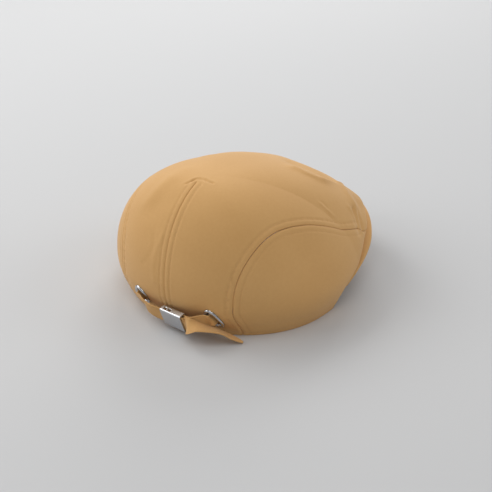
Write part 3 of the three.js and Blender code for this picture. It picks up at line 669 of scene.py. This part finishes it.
def sweep(name, rows, closed=False):
    """A closed profile in each row, carried along the rows and capped by fans at both ends."""
    count, sides = rows.shape[:2]
    points = rows.reshape(-1, 3)
    faces = [grid_faces(count, sides, closed=True)]
    if closed:
        last = (count - 1) * sides + np.arange(sides)
        first = np.arange(sides)
        faces.append(np.stack([last, np.roll(last, -1), np.roll(first, -1), first], -1))
    else:
        points = np.concatenate([points, rows[0].mean(0)[None], rows[-1].mean(0)[None]])
        first_ring, last_ring = np.arange(sides)[::-1], (count - 1) * sides + np.arange(sides)
        for tip, ring in ((count * sides, first_ring), (count * sides + 1, last_ring)):
            faces.append(np.stack([ring, np.roll(ring, -1), np.full(sides, tip)], -1)[:, [0, 1, 2, 2]])
    faces = outward(points, np.concatenate(faces))
    around = np.linalg.norm(np.diff(rows[:, list(range(sides)) + [0]], axis=1), axis=-1).cumsum(1)
    run = arc_length(rows.mean(1))
    uv = np.stack([around, np.broadcast_to(run[:, None], around.shape)], -1).reshape(-1, 2)
    if not closed:
        uv = np.concatenate([uv, uv[[0, -1]]])
    return add_mesh(name, points, faces, uv)


def peak_rows(count=145):
    """For each direction: upper face, half-circle edge with a fine groove, lower face."""
    angle = np.linspace(-PEAK["half_angle"], PEAK["half_angle"], count)
    x, y, z = hem_point(angle)
    out = np.stack([x - SUMMIT_X, y], -1)
    out /= np.linalg.norm(out, axis=-1, keepdims=True)
    fade = np.minimum((PEAK["fade_to"] - np.abs(angle)) / (PEAK["fade_to"] - PEAK["full_to"]), 1)
    edge = PEAK["reach"] * np.sin(fade * np.pi / 2)
    root = PEAK["depth"] * np.cos(np.radians(angle * 90 / PEAK["half_angle"])) + PEAK["corner"]
    half = PEAK_THICKNESS / 2
    flat = np.linspace(0, 1, 22)
    turn = np.linspace(0, np.pi, 19)[1:-1]
    groove = 0.00035 * hump((turn - np.pi / 2) / 0.16)
    rows = []
    for k in range(count):
        far = edge[k] - half
        upper = -root[k] + (root[k] + far) * flat
        distance = np.concatenate([upper, far + (half - groove) * np.sin(turn), upper[::-1]])
        fall = np.concatenate([0 * flat, half - (half - groove) * np.cos(turn), 0 * flat + PEAK_THICKNESS])
        height = z[k] - PEAK_GAP - PEAK_SLOPE * np.maximum(distance, 0) - fall
        rows.append(np.stack([x[k] + out[k, 0] * distance, y[k] + out[k, 1] * distance, height], -1))
    return np.array(rows) + SHIFT


peak = sweep("cap_peak", peak_rows())

# %% [markdown]
# ## Metal fittings
#
# An eyelet is a thin stamped ring: a half-round flange outside, a barrel through the cloth and
# a flat flange inside. Its profile is carried round the leaning oval. The buckle is a plate
# with both long edges folded back. It is made as one sheet with a thickness, which leaves out
# the faces of two narrow slots in its upper fold. Both could be cut from solid blocks. Bending a
# thin sheet gives the real part's even wall and round folds.

# %% Eyelets
def eyelet_rows(eyelet, steps=72):
    """The flange's profile at every step round the oval."""
    inner, outer_edge = -0.0012, 0.0022
    middle, half = (inner + outer_edge) / 2, (outer_edge - inner) / 2
    arc = np.linspace(0, np.pi, 13)
    flat = [inner, outer_edge, outer_edge, -0.0003, -0.0003]
    spread = np.concatenate([flat, middle + half * np.cos(arc)])
    off = np.concatenate([[-0.0033, -0.0033, -0.0023, -0.0023, 0.0003], 0.0003 + 0.0016 * np.sin(arc)])
    turn = np.linspace(0, 2 * np.pi, steps, endpoint=False)
    rows = [round_eyelet(eyelet, np.full(len(off), t), spread, off) for t in turn]
    return np.array(rows)


eyelets = [
    sweep("cap_eyelet_" + side, eyelet_rows(eyelet), closed=True)
    for side, eyelet in EYELETS.items()
]

# %% The buckle's own directions
BUCKLE_CENTRE = np.array([-0.101, -0.0235, 0.0126]) + SHIFT
ALONG = np.array([-0.02, -0.997, 0.07])
ALONG /= np.linalg.norm(ALONG)
UP = np.array([-0.28, 0, 0.96])
UP -= ALONG * (UP @ ALONG)
UP /= np.linalg.norm(UP)
IN = np.cross(UP, ALONG)
BUCKLE_LENGTH, BUCKLE_HEIGHT, BUCKLE_DEPTH, PLATE = 0.025, 0.017, 0.0062, 0.001
SLOT_STARTS, SLOT_LENGTH, SLOT_NEAR, SLOT_FAR = (-0.0096, -0.0046), 0.0034, 0.0016, 0.0042


def in_buckle(along, up, depth):
    """Points given along, up and into the buckle from the middle of its face."""
    along, up, depth = (np.asarray(v, float)[..., None] for v in np.broadcast_arrays(along, up, depth))
    return BUCKLE_CENTRE + along * ALONG + up * UP + depth * IN


def channel(inset, corner=0.0013, steps=7):
    """Half of the folded section: out along the fold, round the corner, to the face's middle."""
    half = BUCKLE_HEIGHT / 2
    fold_depth = np.array([BUCKLE_DEPTH, 0.0052, SLOT_FAR, 0.0036, 0.003, 0.0023, SLOT_NEAR])
    turn = np.linspace(0, np.pi / 2, steps)
    rounded = half - corner + (corner - inset) * np.cos(turn)
    up = np.concatenate([np.full(len(fold_depth), half - inset), rounded])
    depth = np.concatenate([fold_depth, corner - (corner - inset) * np.sin(turn)])
    across = np.linspace(half - corner, 0, 8)[1:]
    return np.concatenate([up, across]), np.concatenate([depth, np.full(7, inset)])


def buckle_mesh():
    """The section carried along the buckle, without the faces of the two slots."""
    ends = BUCKLE_LENGTH / 2
    slot_edges = np.array([[start, start + SLOT_LENGTH] for start in SLOT_STARTS]).ravel()
    along = np.unique(np.round(np.concatenate([np.linspace(-ends, ends, 21), slot_edges]), 6))
    sheets = []
    for inset in (0.0, PLATE):
        up, depth = channel(inset)
        up, depth = np.concatenate([up, -up[-2::-1]]), np.concatenate([depth, depth[-2::-1]])
        sheets.append(in_buckle(along[:, None], up, depth).reshape(-1, 3))
    faces = grid_faces(len(along), len(up))
    middle_along = np.repeat((along[1:] + along[:-1]) / 2, len(up) - 1)
    middle_depth = np.tile((depth[1:] + depth[:-1]) / 2, len(along) - 1)
    on_top = np.tile((up[1:] + up[:-1]) / 2 > BUCKLE_HEIGHT / 2 - PLATE * 1.01, len(along) - 1)
    open_face = np.zeros(len(faces), bool)
    for start in SLOT_STARTS:
        between = (middle_along > start) & (middle_along < start + SLOT_LENGTH)
        open_face |= between & on_top & (middle_depth > SLOT_NEAR) & (middle_depth < SLOT_FAR)
    faces = faces[~open_face]
    corner_at, next_at, last_at = sheets[0][faces[0, [0, 1, 3]]]
    if np.cross(next_at - corner_at, last_at - corner_at) @ UP < 0:
        faces = faces[:, ::-1]
    uv = np.stack([np.repeat(along, len(up)), np.tile(np.arange(len(up)) * 0.001, len(along))], -1)
    return shell("cap_buckle", *sheets, faces, uv)


buckle = buckle_mesh()
edge = buckle.modifiers.new("filed edges", "BEVEL")
edge.width, edge.segments, edge.limit_method, edge.angle_limit = 0.0002, 2, "ANGLE", np.radians(50)

turn = np.linspace(0, 2 * np.pi, 16, endpoint=False)
bar_up = np.array([-1, 1])[:, None] * (BUCKLE_HEIGHT / 2 - PLATE)
bar_rings = in_buckle(0.001 + 0.0005 * np.cos(turn), bar_up, 0.0036 + 0.0005 * np.sin(turn))
bar = sweep("cap_buckle_bar", bar_rings)

# %% [markdown]
# ## The strap
#
# The strap is a folded band of the same cloth, sewn along both edges. One short end comes out
# of the left eyelet and stays fixed in the buckle. The other comes out of the right eyelet,
# turns back round the bar and leaves the buckle as a free tail that twists to lie flat. A
# smooth curve through a few stations carries the band's flat section. A cloth simulation could
# drape the tail, but it would not pass the same way round the bar each time.

# %% Curves through stations
STRAP_WIDTH, IN_EYELET_WIDTH, STRAP_THICKNESS = 0.0142, 0.0104, 0.0012


def curve_through(points, steps):
    """A centripetal Catmull-Rom curve: cubic pieces whose pace follows the gaps' square roots."""
    p = np.concatenate([[2 * points[0] - points[1]], points, [2 * points[-1] - points[-2]]])
    pace = np.maximum(np.sqrt(np.linalg.norm(np.diff(p, axis=0), axis=1)), 1e-4)
    t = np.linspace(0, 1, steps, endpoint=False)[:, None]
    pieces = []
    for k in range(len(points) - 1):
        x0, x1, x2, x3 = p[k:k + 4]
        d0, d1, d2 = pace[k:k + 3]
        leave = ((x1 - x0) / d0 - (x2 - x0) / (d0 + d1) + (x2 - x1) / d1) * d1
        meet = ((x2 - x1) / d1 - (x3 - x1) / (d1 + d2) + (x3 - x2) / d2) * d1
        bend2, bend3 = -3 * x1 + 3 * x2 - 2 * leave - meet, 2 * x1 - 2 * x2 + leave + meet
        pieces.append(x1 + leave * t + bend2 * t**2 + bend3 * t**3)
    return np.concatenate([*pieces, points[-1:]])


def unit(vectors):
    """The same directions with length one."""
    return vectors / (np.linalg.norm(vectors, axis=-1, keepdims=True) + 1e-12)


def frame_along(stations, steps=8):
    """Middle line, directions across and off the band, and half width."""
    middle = curve_through(np.array([s[0] for s in stations]), steps)
    across = curve_through(np.array([s[1] for s in stations], float), steps)
    place = np.linspace(0, len(stations) - 1, len(middle))
    width = np.interp(place, np.arange(len(stations)), [s[2] for s in stations])
    way = unit(np.gradient(middle, axis=0))
    across = unit(across - way * (across * way).sum(1, keepdims=True))
    return middle, way, across, np.cross(way, across), width / 2


SEW_IN = 0.0018  # from the strap's edge to its stitches


def band(name, stations):
    """The flat section with round edges and a furrow under each row of stitches."""
    middle, _, across, off, half = frame_along(stations)
    place = np.concatenate([[-1, -0.985], np.linspace(-0.95, 0.95, 31), [0.985, 1]])
    rows = []
    for k in range(len(middle)):
        from_edge = (1 - np.abs(place)) * half[k]
        furrow = 0.00016 * hump((from_edge - SEW_IN) / 0.0005)
        rounding = 1 - np.clip(from_edge / 0.0006, 0, 1)
        thick = STRAP_THICKNESS / 2 * np.sqrt(np.clip(1 - rounding**2, 0, 1))
        face = thick - furrow * (thick > 0)
        upper = middle[k] + place[:, None] * half[k] * across[k] + face[:, None] * off[k]
        lower = middle[k] + place[:, None] * half[k] * across[k] - face[:, None] * off[k]
        rows.append(np.concatenate([upper, lower[-2:0:-1]]))
    return sweep(name, np.array(rows))


# The way through an eyelet: off the cloth and along it, in metres.
THROUGH_EYELET = np.array([(-10, -9), (-8, -3.5), (-4, -0.3), (0, 0), (2.6, 0.6), (4.2, 5.2)]) / 1000


def eyelet_stations(eyelet, towards):
    """Stations through an eyelet, from inside the crown outwards."""
    top = round_eyelet(eyelet, np.array(np.pi / 2), 0.0, 0.0)
    bottom = round_eyelet(eyelet, np.array(-np.pi / 2), 0.0, 0.0)
    across = unit(top - bottom)
    return [(on_cloth(eyelet, towards * on, 0, off), across, IN_EYELET_WIDTH) for off, on in THROUGH_EYELET]


def free_station(x, y, z, across, width):
    """A station in millimetres from the hem's middle."""
    return np.array([x, y, z]) / 1000 + SHIFT, np.array(across, float), width / 1000


def buckle_station(along, depth):
    """A station inside the buckle."""
    return in_buckle(along, 0, depth), UP, STRAP_WIDTH


OUTER_LAYER, INNER_LAYER, BAR_ALONG = 0.002, 0.0052, 0.001
end = BUCKLE_LENGTH / 2
FIXED = [
    *eyelet_stations(EYELETS["left"], 1),
    free_station(-102.2, 3, 15, (-0.3, -0.2, 0.92), 13.4),
    buckle_station(-end - 0.003, OUTER_LAYER),
    buckle_station(-end, OUTER_LAYER),
    buckle_station(-0.006, OUTER_LAYER),
]
half_turn = np.radians([0, 45, 90, 135, 180])
layer_gap = (INNER_LAYER - OUTER_LAYER) / 2
ADJUSTER = [
    *eyelet_stations(EYELETS["right"], -1),
    free_station(-94.6, -43.5, 16, (-0.4, 0.3, 0.87), 13.4),
    buckle_station(end + 0.003, INNER_LAYER),
    buckle_station(0.006, INNER_LAYER),
    *[
        buckle_station(BAR_ALONG - layer_gap * np.sin(t), OUTER_LAYER + layer_gap * (1 + np.cos(t)))
        for t in half_turn
    ],
    buckle_station(0.006, OUTER_LAYER),
    buckle_station(end, OUTER_LAYER),
    buckle_station(end + 0.003, OUTER_LAYER),
    free_station(-103.4, -45.5, 17.5, (0.6, 0.3, 0.74), 13.8),
    free_station(-100, -52, 18.2, (0.77, 0.64, 0.05), 14.4),
    free_station(-92.8, -58.2, 15.3, (0.59, 0.8, -0.14), 14),
    free_station(-85.3, -63.9, 11.5, (0.57, 0.79, -0.22), 13),
    free_station(-78.8, -70.8, 6.1, (0.71, 0.67, -0.19), 10),
    free_station(-73.2, -79.2, 1.6, (0.83, 0.56, 0), 2.4),
]
strap_fixed = band("cap_strap_fixed", FIXED)
strap_adjuster = band("cap_strap_adjuster", ADJUSTER)
for name, stations in (("fixed", FIXED), ("adjuster", ADJUSTER)):
    print(name, "strap length, mm:", round(1000 * arc_length(frame_along(stations)[0])[-1], 1))

# %% [markdown]
# ## Stitches
#
# The thread is the cloth's own colour, so a stitch shows only as a small ridge between two dips.
# Each one is a short capsule that arches a little out of its furrow. All are worked out together:
# one unit capsule, placed by three directions at every stitch. Separate objects or instances
# would do as well, but one mesh for all the stitches is lighter to export.

# %% Rows of stitches
def capsules(name, centres, ways, offs, length, radius):
    """Capsules along their ways: rings that narrow at both ends, and ends that dip."""
    share = np.array([-1, -0.9, -0.55, 0, 0.55, 0.9, 1])
    blunt = np.array([0.15, 0, 0, 0, 0, 0, 0.15])
    thick = np.sqrt(1 - share**6) * np.array([0.15, 1, 1, 1, 1, 1, 0.15]) + blunt
    turn = np.linspace(0, 2 * np.pi, 6, endpoint=False)
    sides = np.cross(offs, ways)
    ring = sides[:, None, None] * np.cos(turn)[:, None] + offs[:, None, None] * np.sin(turn)[:, None]
    dip = (share**2 * radius * 0.9)[:, None]
    spine = ways[:, None] * (share * length / 2)[:, None] - offs[:, None] * dip
    points = centres[:, None, None] + spine[:, :, None] + ring * (thick * radius)[:, None, None]
    ends = [[3, 2, 1, 0], [5, 4, 3, 0], [36, 37, 38, 39], [36, 39, 40, 41]]
    one = outward(points[0].reshape(-1, 3), np.concatenate([grid_faces(7, 6, closed=True), ends]))
    faces = (np.arange(len(centres))[:, None, None] * 42 + one).reshape(-1, 4)
    return add_mesh(name, points.reshape(-1, 3), faces)


def settle(angle, rise, target):
    """Panel angle and rise of the dome's nearest place, by a few Newton steps."""
    for _ in range(5):
        here = crown(angle, rise)
        per_angle = (crown(angle + 0.05, rise) - here) / 0.05
        per_rise = (crown(angle, rise + 0.0005) - here) / 0.0005
        miss = target - here
        aa, ar, rr = ((per_angle**2).sum(1), (per_angle * per_rise).sum(1), (per_rise**2).sum(1))
        ma, mr = (per_angle * miss).sum(1), (per_rise * miss).sum(1)
        det = aa * rr - ar * ar
        angle = angle + (ma * rr - mr * ar) / det
        rise = np.clip(rise + (mr * aa - ma * ar) / det, 0, 1)
    return angle, rise


def row_beside(angle, rise, offset, pitch, soft, trim=(0.0, 0.0)):
    """Centres, ways and normals of stitches beside a line, offset metres to its left."""
    line = crown(angle, rise)
    way = unit(np.gradient(line, axis=0))
    beside = line + np.cross(surface_normal(angle, rise), way) * offset
    angle, rise = settle(angle, rise, beside)
    run = arc_length(crown(angle, rise))
    places = np.arange(trim[0], run[-1] - trim[1], pitch)
    angle, rise = np.interp(places, run, angle), np.interp(places, run, rise)
    points, normals = skin(angle, rise, soft)
    return points, unit(np.gradient(points, axis=0)), normals


STITCH_PITCH, STITCH_LENGTH, THREAD_RADIUS = 0.0030, 0.0023, 0.00024
rows = []
for side, sign in SIDES.items():
    for turn_side, soft in ((-sign, 1.0), (sign, 0.0)):
        beside = turn_side * SEAM_ROW
        rows.append(row_beside(sign * SEAM_ANGLE, SEAM_RISE, beside, STITCH_PITCH, soft, (0.004, 0.006)))
dart_rise = np.linspace(0, DART_TOP, 160)
for offset in (DART_ROW, -DART_ROW):
    rows.append(row_beside(np.full(160, 180.0), dart_rise, offset, STITCH_PITCH, 0.5, (0.004, 0.002)))
centres, ways, offs = (np.concatenate(part) for part in zip(*rows))
seam_stitches = capsules("cap_seam_stitches", centres, ways, offs, STITCH_LENGTH, THREAD_RADIUS)
print("seam stitches:", len(centres))


# %% Stitches along the strap
def strap_rows(stations, pitch=0.0026):
    """Stitches on both faces of a strap, near both edges."""
    middle, way, across, off, half = frame_along(stations)
    found = []
    for edge_side in (-1, 1):
        line = middle + across * (edge_side * (half - SEW_IN))[:, None]
        run = arc_length(line)
        places = np.arange(0.003, run[-1] - 0.003, pitch)
        wide = np.interp(places, run, half) > SEW_IN * 1.5
        take = lambda values: np.stack([np.interp(places, run, values[:, k]) for k in range(3)], -1)[wide]
        for face in (-1, 1):
            lift = face * (STRAP_THICKNESS / 2 - 0.0001)
            found.append((take(line) + unit(take(off)) * lift, unit(take(way)), face * unit(take(off))))
    return found


rows = strap_rows(FIXED) + strap_rows(ADJUSTER)
centres, ways, offs = (np.concatenate(part) for part in zip(*rows))
strap_stitches = capsules("cap_strap_stitches", centres, ways, offs, 0.0019, 0.00018)
print("strap stitches:", len(centres))

# %% [markdown]
# ## Materials
#
# The cloth is a smooth cotton twill. Two things carry its look: a very fine diagonal rib, which
# only bends the light, and slow changes of tone where the dye and the handling differ. Both are
# node groups, so that each cloth piece can use them with its own strength. The colour itself is
# one warm camel. An image of cloth could be wrapped on instead, but a procedural one stays
# sharp at any distance and has no edge where it repeats.

# %% The cloth's node groups
def new_group(name, inputs, outputs):
    """A shader node group with named float, colour or vector sockets."""
    group = bpy.data.node_groups.new(name, "ShaderNodeTree")
    for label, kind, value in inputs:
        socket = group.interface.new_socket(name=label, in_out="INPUT", socket_type=kind)
        if value is not None:
            socket.default_value = value
    for label, kind in outputs:
        group.interface.new_socket(name=label, in_out="OUTPUT", socket_type=kind)
    return group, group.nodes.new("NodeGroupInput"), group.nodes.new("NodeGroupOutput")


def add(tree, kind, inputs=None, **settings):
    """A node with its settings, and numbers or links for its inputs."""
    node = tree.nodes.new(kind)
    for key, value in settings.items():
        setattr(node, key, value)
    for key, value in (inputs or {}).items():
        if isinstance(value, bpy.types.NodeSocket):
            tree.links.new(value, node.inputs[key])
        else:
            node.inputs[key].default_value = value
    return node


def twill_group():
    """Diagonal ribs: a sine of the two map directions, broken up by fine noise."""
    group, inp, out = new_group(
        "twill_rib",
        [("Map", "NodeSocketVector", None), ("Ribs per metre", "NodeSocketFloat", 1500.0)],
        [("Height", "NodeSocketFloat")],
    )
    split = add(group, "ShaderNodeSeparateXYZ", {0: inp.outputs["Map"]})
    diagonal = add(group, "ShaderNodeMath", {0: split.outputs[0], 1: split.outputs[1]}, operation="ADD")
    ribs = {0: diagonal.outputs[0], 1: inp.outputs["Ribs per metre"]}
    turns = add(group, "ShaderNodeMath", ribs, operation="MULTIPLY")
    angle = add(group, "ShaderNodeMath", {0: turns.outputs[0], 1: 2 * np.pi}, operation="MULTIPLY")
    wave = add(group, "ShaderNodeMath", {0: angle.outputs[0]}, operation="SINE")
    grain = add(group, "ShaderNodeTexNoise", {"Vector": inp.outputs["Map"], "Scale": 900.0, "Detail": 3.0})
    ribs_and_grain = {0: wave.outputs[0], 1: 0.25, 2: grain.outputs["Fac"]}
    mixed = add(group, "ShaderNodeMath", ribs_and_grain, operation="MULTIPLY_ADD")
    group.links.new(mixed.outputs[0], out.inputs["Height"])
    return group


def tone_group():
    """Cloth colour that drifts slowly between two shades, with a trace of fine mottling."""
    group, inp, out = new_group(
        "cloth_tone",
        [
            ("Place", "NodeSocketVector", None),
            ("Colour", "NodeSocketColor", (0.5, 0.3, 0.12, 1)),
            ("Worn colour", "NodeSocketColor", (0.6, 0.4, 0.2, 1)),
            ("Patch scale", "NodeSocketFloat", 14.0),
        ],
        [("Colour", "NodeSocketColor")],
    )
    place, scale = inp.outputs["Place"], inp.outputs["Patch scale"]
    patches = add(group, "ShaderNodeTexNoise", {"Vector": place, "Scale": scale, "Detail": 2.0})
    mottle = add(group, "ShaderNodeTexNoise", {"Vector": place, "Scale": 420.0, "Detail": 2.0})
    weighed = {0: mottle.outputs["Fac"], 1: 0.35, 2: patches.outputs["Fac"]}
    both = add(group, "ShaderNodeMath", weighed, operation="MULTIPLY_ADD")
    share = add(group, "ShaderNodeMapRange", {"Value": both.outputs[0], "From Min": 0.45, "From Max": 0.95})
    blend = add(
        group, "ShaderNodeMix",
        {"Factor": share.outputs["Result"], "A": inp.outputs["Colour"], "B": inp.outputs["Worn colour"]},
        data_type="RGBA",
    )
    group.links.new(blend.outputs["Result"], out.inputs["Colour"])
    return group


TWILL, TONE = twill_group(), tone_group()


# %% Cloth, thread and steel
CAMEL = (0.615, 0.345, 0.124, 1)
CAMEL_WORN = (0.675, 0.392, 0.152, 1)
THREAD = (0.67, 0.40, 0.165, 1)
NICKEL = (0.56, 0.57, 0.59, 1)


def new_material(name):
    """An empty node material with one Principled shader."""
    material = bpy.data.materials.new(name)
    material.use_nodes = True
    tree = material.node_tree
    tree.nodes.clear()
    shader = tree.nodes.new("ShaderNodeBsdfPrincipled")
    output = tree.nodes.new("ShaderNodeOutputMaterial")
    tree.links.new(shader.outputs[0], output.inputs[0])
    return material, tree, shader


def cloth_material(name, colour, worn, rib_depth=0.00004):
    """Camel twill: toned colour, fine ribs as bump, and a soft sheen."""
    material, tree, shader = new_material(name)
    coords = tree.nodes.new("ShaderNodeTexCoord")
    tone = add(tree, "ShaderNodeGroup", {}, node_tree=TONE)
    tree.links.new(coords.outputs["Object"], tone.inputs["Place"])
    tone.inputs["Colour"].default_value = colour
    tone.inputs["Worn colour"].default_value = worn
    tree.links.new(tone.outputs["Colour"], shader.inputs["Base Color"])
    rib = add(tree, "ShaderNodeGroup", {}, node_tree=TWILL)
    tree.links.new(coords.outputs["UV"], rib.inputs["Map"])
    ribbing = {"Height": rib.outputs["Height"], "Strength": 0.5, "Distance": rib_depth}
    bump = add(tree, "ShaderNodeBump", ribbing)
    tree.links.new(bump.outputs["Normal"], shader.inputs["Normal"])
    shader.inputs["Roughness"].default_value = 0.82
    shader.inputs["Specular IOR Level"].default_value = 0.25
    shader.inputs["Sheen Weight"].default_value = 0.25
    shader.inputs["Sheen Roughness"].default_value = 0.5
    shader.inputs["Sheen Tint"].default_value = (1.0, 0.86, 0.68, 1)
    return material


def thread_material():
    """Sewing thread, a little lighter and shinier than the cloth."""
    material, tree, shader = new_material("camel_thread")
    coords = tree.nodes.new("ShaderNodeTexCoord")
    strands = add(tree, "ShaderNodeTexNoise", {"Vector": coords.outputs["Object"], "Scale": 1500.0})
    blend = add(tree, "ShaderNodeMix", {"Factor": strands.outputs["Fac"]}, data_type="RGBA")
    blend.inputs["A"].default_value = THREAD
    blend.inputs["B"].default_value = CAMEL
    tree.links.new(blend.outputs["Result"], shader.inputs["Base Color"])
    shader.inputs["Roughness"].default_value = 0.6
    return material


def steel_material(name, roughness):
    """Satin nickel-plated steel with fine rubbing marks in its roughness."""
    material, tree, shader = new_material(name)
    coords = tree.nodes.new("ShaderNodeTexCoord")
    fine = {"Vector": coords.outputs["Object"], "Scale": 260.0, "Detail": 4.0}
    rubbed = add(tree, "ShaderNodeTexNoise", fine)
    spread = {"Value": rubbed.outputs["Fac"], "To Min": roughness - 0.06, "To Max": roughness + 0.08}
    gloss = add(tree, "ShaderNodeMapRange", spread)
    tree.links.new(gloss.outputs["Result"], shader.inputs["Roughness"])
    shader.inputs["Base Color"].default_value = NICKEL
    shader.inputs["Metallic"].default_value = 1.0
    return material


CROWN_CLOTH = cloth_material("camel_twill_crown", CAMEL, CAMEL_WORN)
SIDE_CLOTH = cloth_material("camel_twill_side", CAMEL, CAMEL_WORN)
PEAK_CLOTH = cloth_material("camel_twill_peak", CAMEL, CAMEL_WORN)
STRAP_CLOTH = cloth_material("camel_twill_strap", CAMEL, CAMEL_WORN)
STITCH_THREAD = thread_material()
BUCKLE_STEEL = steel_material("satin_nickel_buckle", 0.32)
EYELET_STEEL = steel_material("satin_nickel_eyelet", 0.25)


# %% Dress what is made so far
def dress(piece, material, slot, *nodes):
    """Gives a piece its material and its body, and hides the nodes it stands for. The slot is not used."""
    piece.data.materials.clear()
    piece.data.materials.append(material)
    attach(piece, "root")
    if nodes:
        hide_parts(*nodes)


dress(top_piece, CROWN_CLOTH, "crown_cloth", "crown_panel")
for piece, side in zip(side_pieces, SIDES):
    dress(piece, SIDE_CLOTH, "side_cloth", "side_panel_" + side)
for piece, side in zip(eyelets, EYELETS):
    dress(piece, EYELET_STEEL, "eyelet_steel", "eyelet_" + side)
dress(peak, PEAK_CLOTH, "peak_cloth", "peak")
dress(buckle, BUCKLE_STEEL, "buckle_steel", "buckle")
dress(bar, BUCKLE_STEEL, "buckle_steel")
dress(strap_fixed, STRAP_CLOTH, "strap_cloth", "strap_fixed")
dress(strap_adjuster, STRAP_CLOTH, "strap_cloth", "strap_adjuster")
dress(seam_stitches, STITCH_THREAD, "crown_cloth")
dress(strap_stitches, STITCH_THREAD, "strap_cloth")

# %% [markdown]
# ## Floor, light and camera
#
# The cap lies on a pale matt floor, as on a sheet of studio paper. Light falls from five large
# soft boxes: two keys at the left and the front, and three weaker fills that keep the shadows
# open. A single sun lamp would be simpler, but its hard shadow would hide the seams. A round dome
# shows its form best with large lamps that fade across it. The camera stands behind the cap and
# to its right, with a long lens, so that the near strap isn't drawn too large.

# %% A pale floor
def floor():
    """A large flat sheet, pale grey and matt."""
    points = np.array([[-8, -8, 0], [8, -8, 0], [8, 8, 0], [-8, 8, 0]], float)
    piece = add_mesh("floor", points, np.array([[0, 1, 2, 3]]))
    material, tree, shader = new_material("pale_floor")
    shader.inputs["Base Color"].default_value = (0.58, 0.58, 0.58, 1)
    shader.inputs["Roughness"].default_value = 0.9
    piece.data.materials.append(material)
    return piece


floor()


# %% Soft studio light
def area_light(name, place, size, power, target=(0, 0, 0.05), colour=(1, 1, 1)):
    """A square soft box that faces its target."""
    data = bpy.data.lights.new(name, "AREA")
    data.shape = "SQUARE"
    data.size = size
    data.energy = power
    data.color = colour
    lamp = bpy.data.objects.new(name, data)
    lamp.location = place
    lamp.rotation_euler = (Vector(target) - Vector(place)).to_track_quat("-Z", "Y").to_euler()
    bpy.context.scene.collection.objects.link(lamp)
    return lamp


def round_about(azimuth, elevation, distance=1.7):
    """A place at an azimuth and an elevation, in degrees, seen from the cap."""
    a, e = np.radians(azimuth), np.radians(elevation)
    return tuple(distance * np.array([np.cos(e) * np.cos(a), np.cos(e) * np.sin(a), np.sin(e)]))


area_light("key_left", round_about(95, 44), 0.9, 10.5)
area_light("key_front", round_about(35, 32), 0.9, 10.5)
area_light("fill_back_left", round_about(138, 30), 0.9, 6.5)
area_light("fill_behind", round_about(225, 58), 0.9, 4.5)
area_light("fill_right", round_about(310, 32), 0.9, 4.5)
world = bpy.data.worlds.new("studio")
bpy.context.scene.world = world
world.use_nodes = True
world.node_tree.nodes["Background"].inputs[0].default_value = (0.97, 0.98, 1.0, 1)
world.node_tree.nodes["Background"].inputs[1].default_value = 0.35
bpy.context.scene.view_settings.view_transform = "Standard"

# %% The camera
CAMERA_PLACE = np.array([-0.71382, -0.69000, 0.58002]) + SHIFT
CAMERA_RIGHT = (0.6813, -0.7319, -0.0140)
CAMERA_UP = (0.3611, 0.3194, 0.8761)
CAMERA_BACK = (-0.6367, -0.6020, 0.4819)
camera_data = bpy.data.cameras.new("camera")
camera_data.lens = 92.5
camera_data.sensor_width = 36
camera = bpy.data.objects.new("camera", camera_data)
bpy.context.scene.collection.objects.link(camera)
facing = Matrix((CAMERA_RIGHT, CAMERA_UP, CAMERA_BACK)).transposed().to_4x4()
camera.matrix_world = Matrix.Translation(CAMERA_PLACE) @ facing
bpy.context.scene.camera = camera
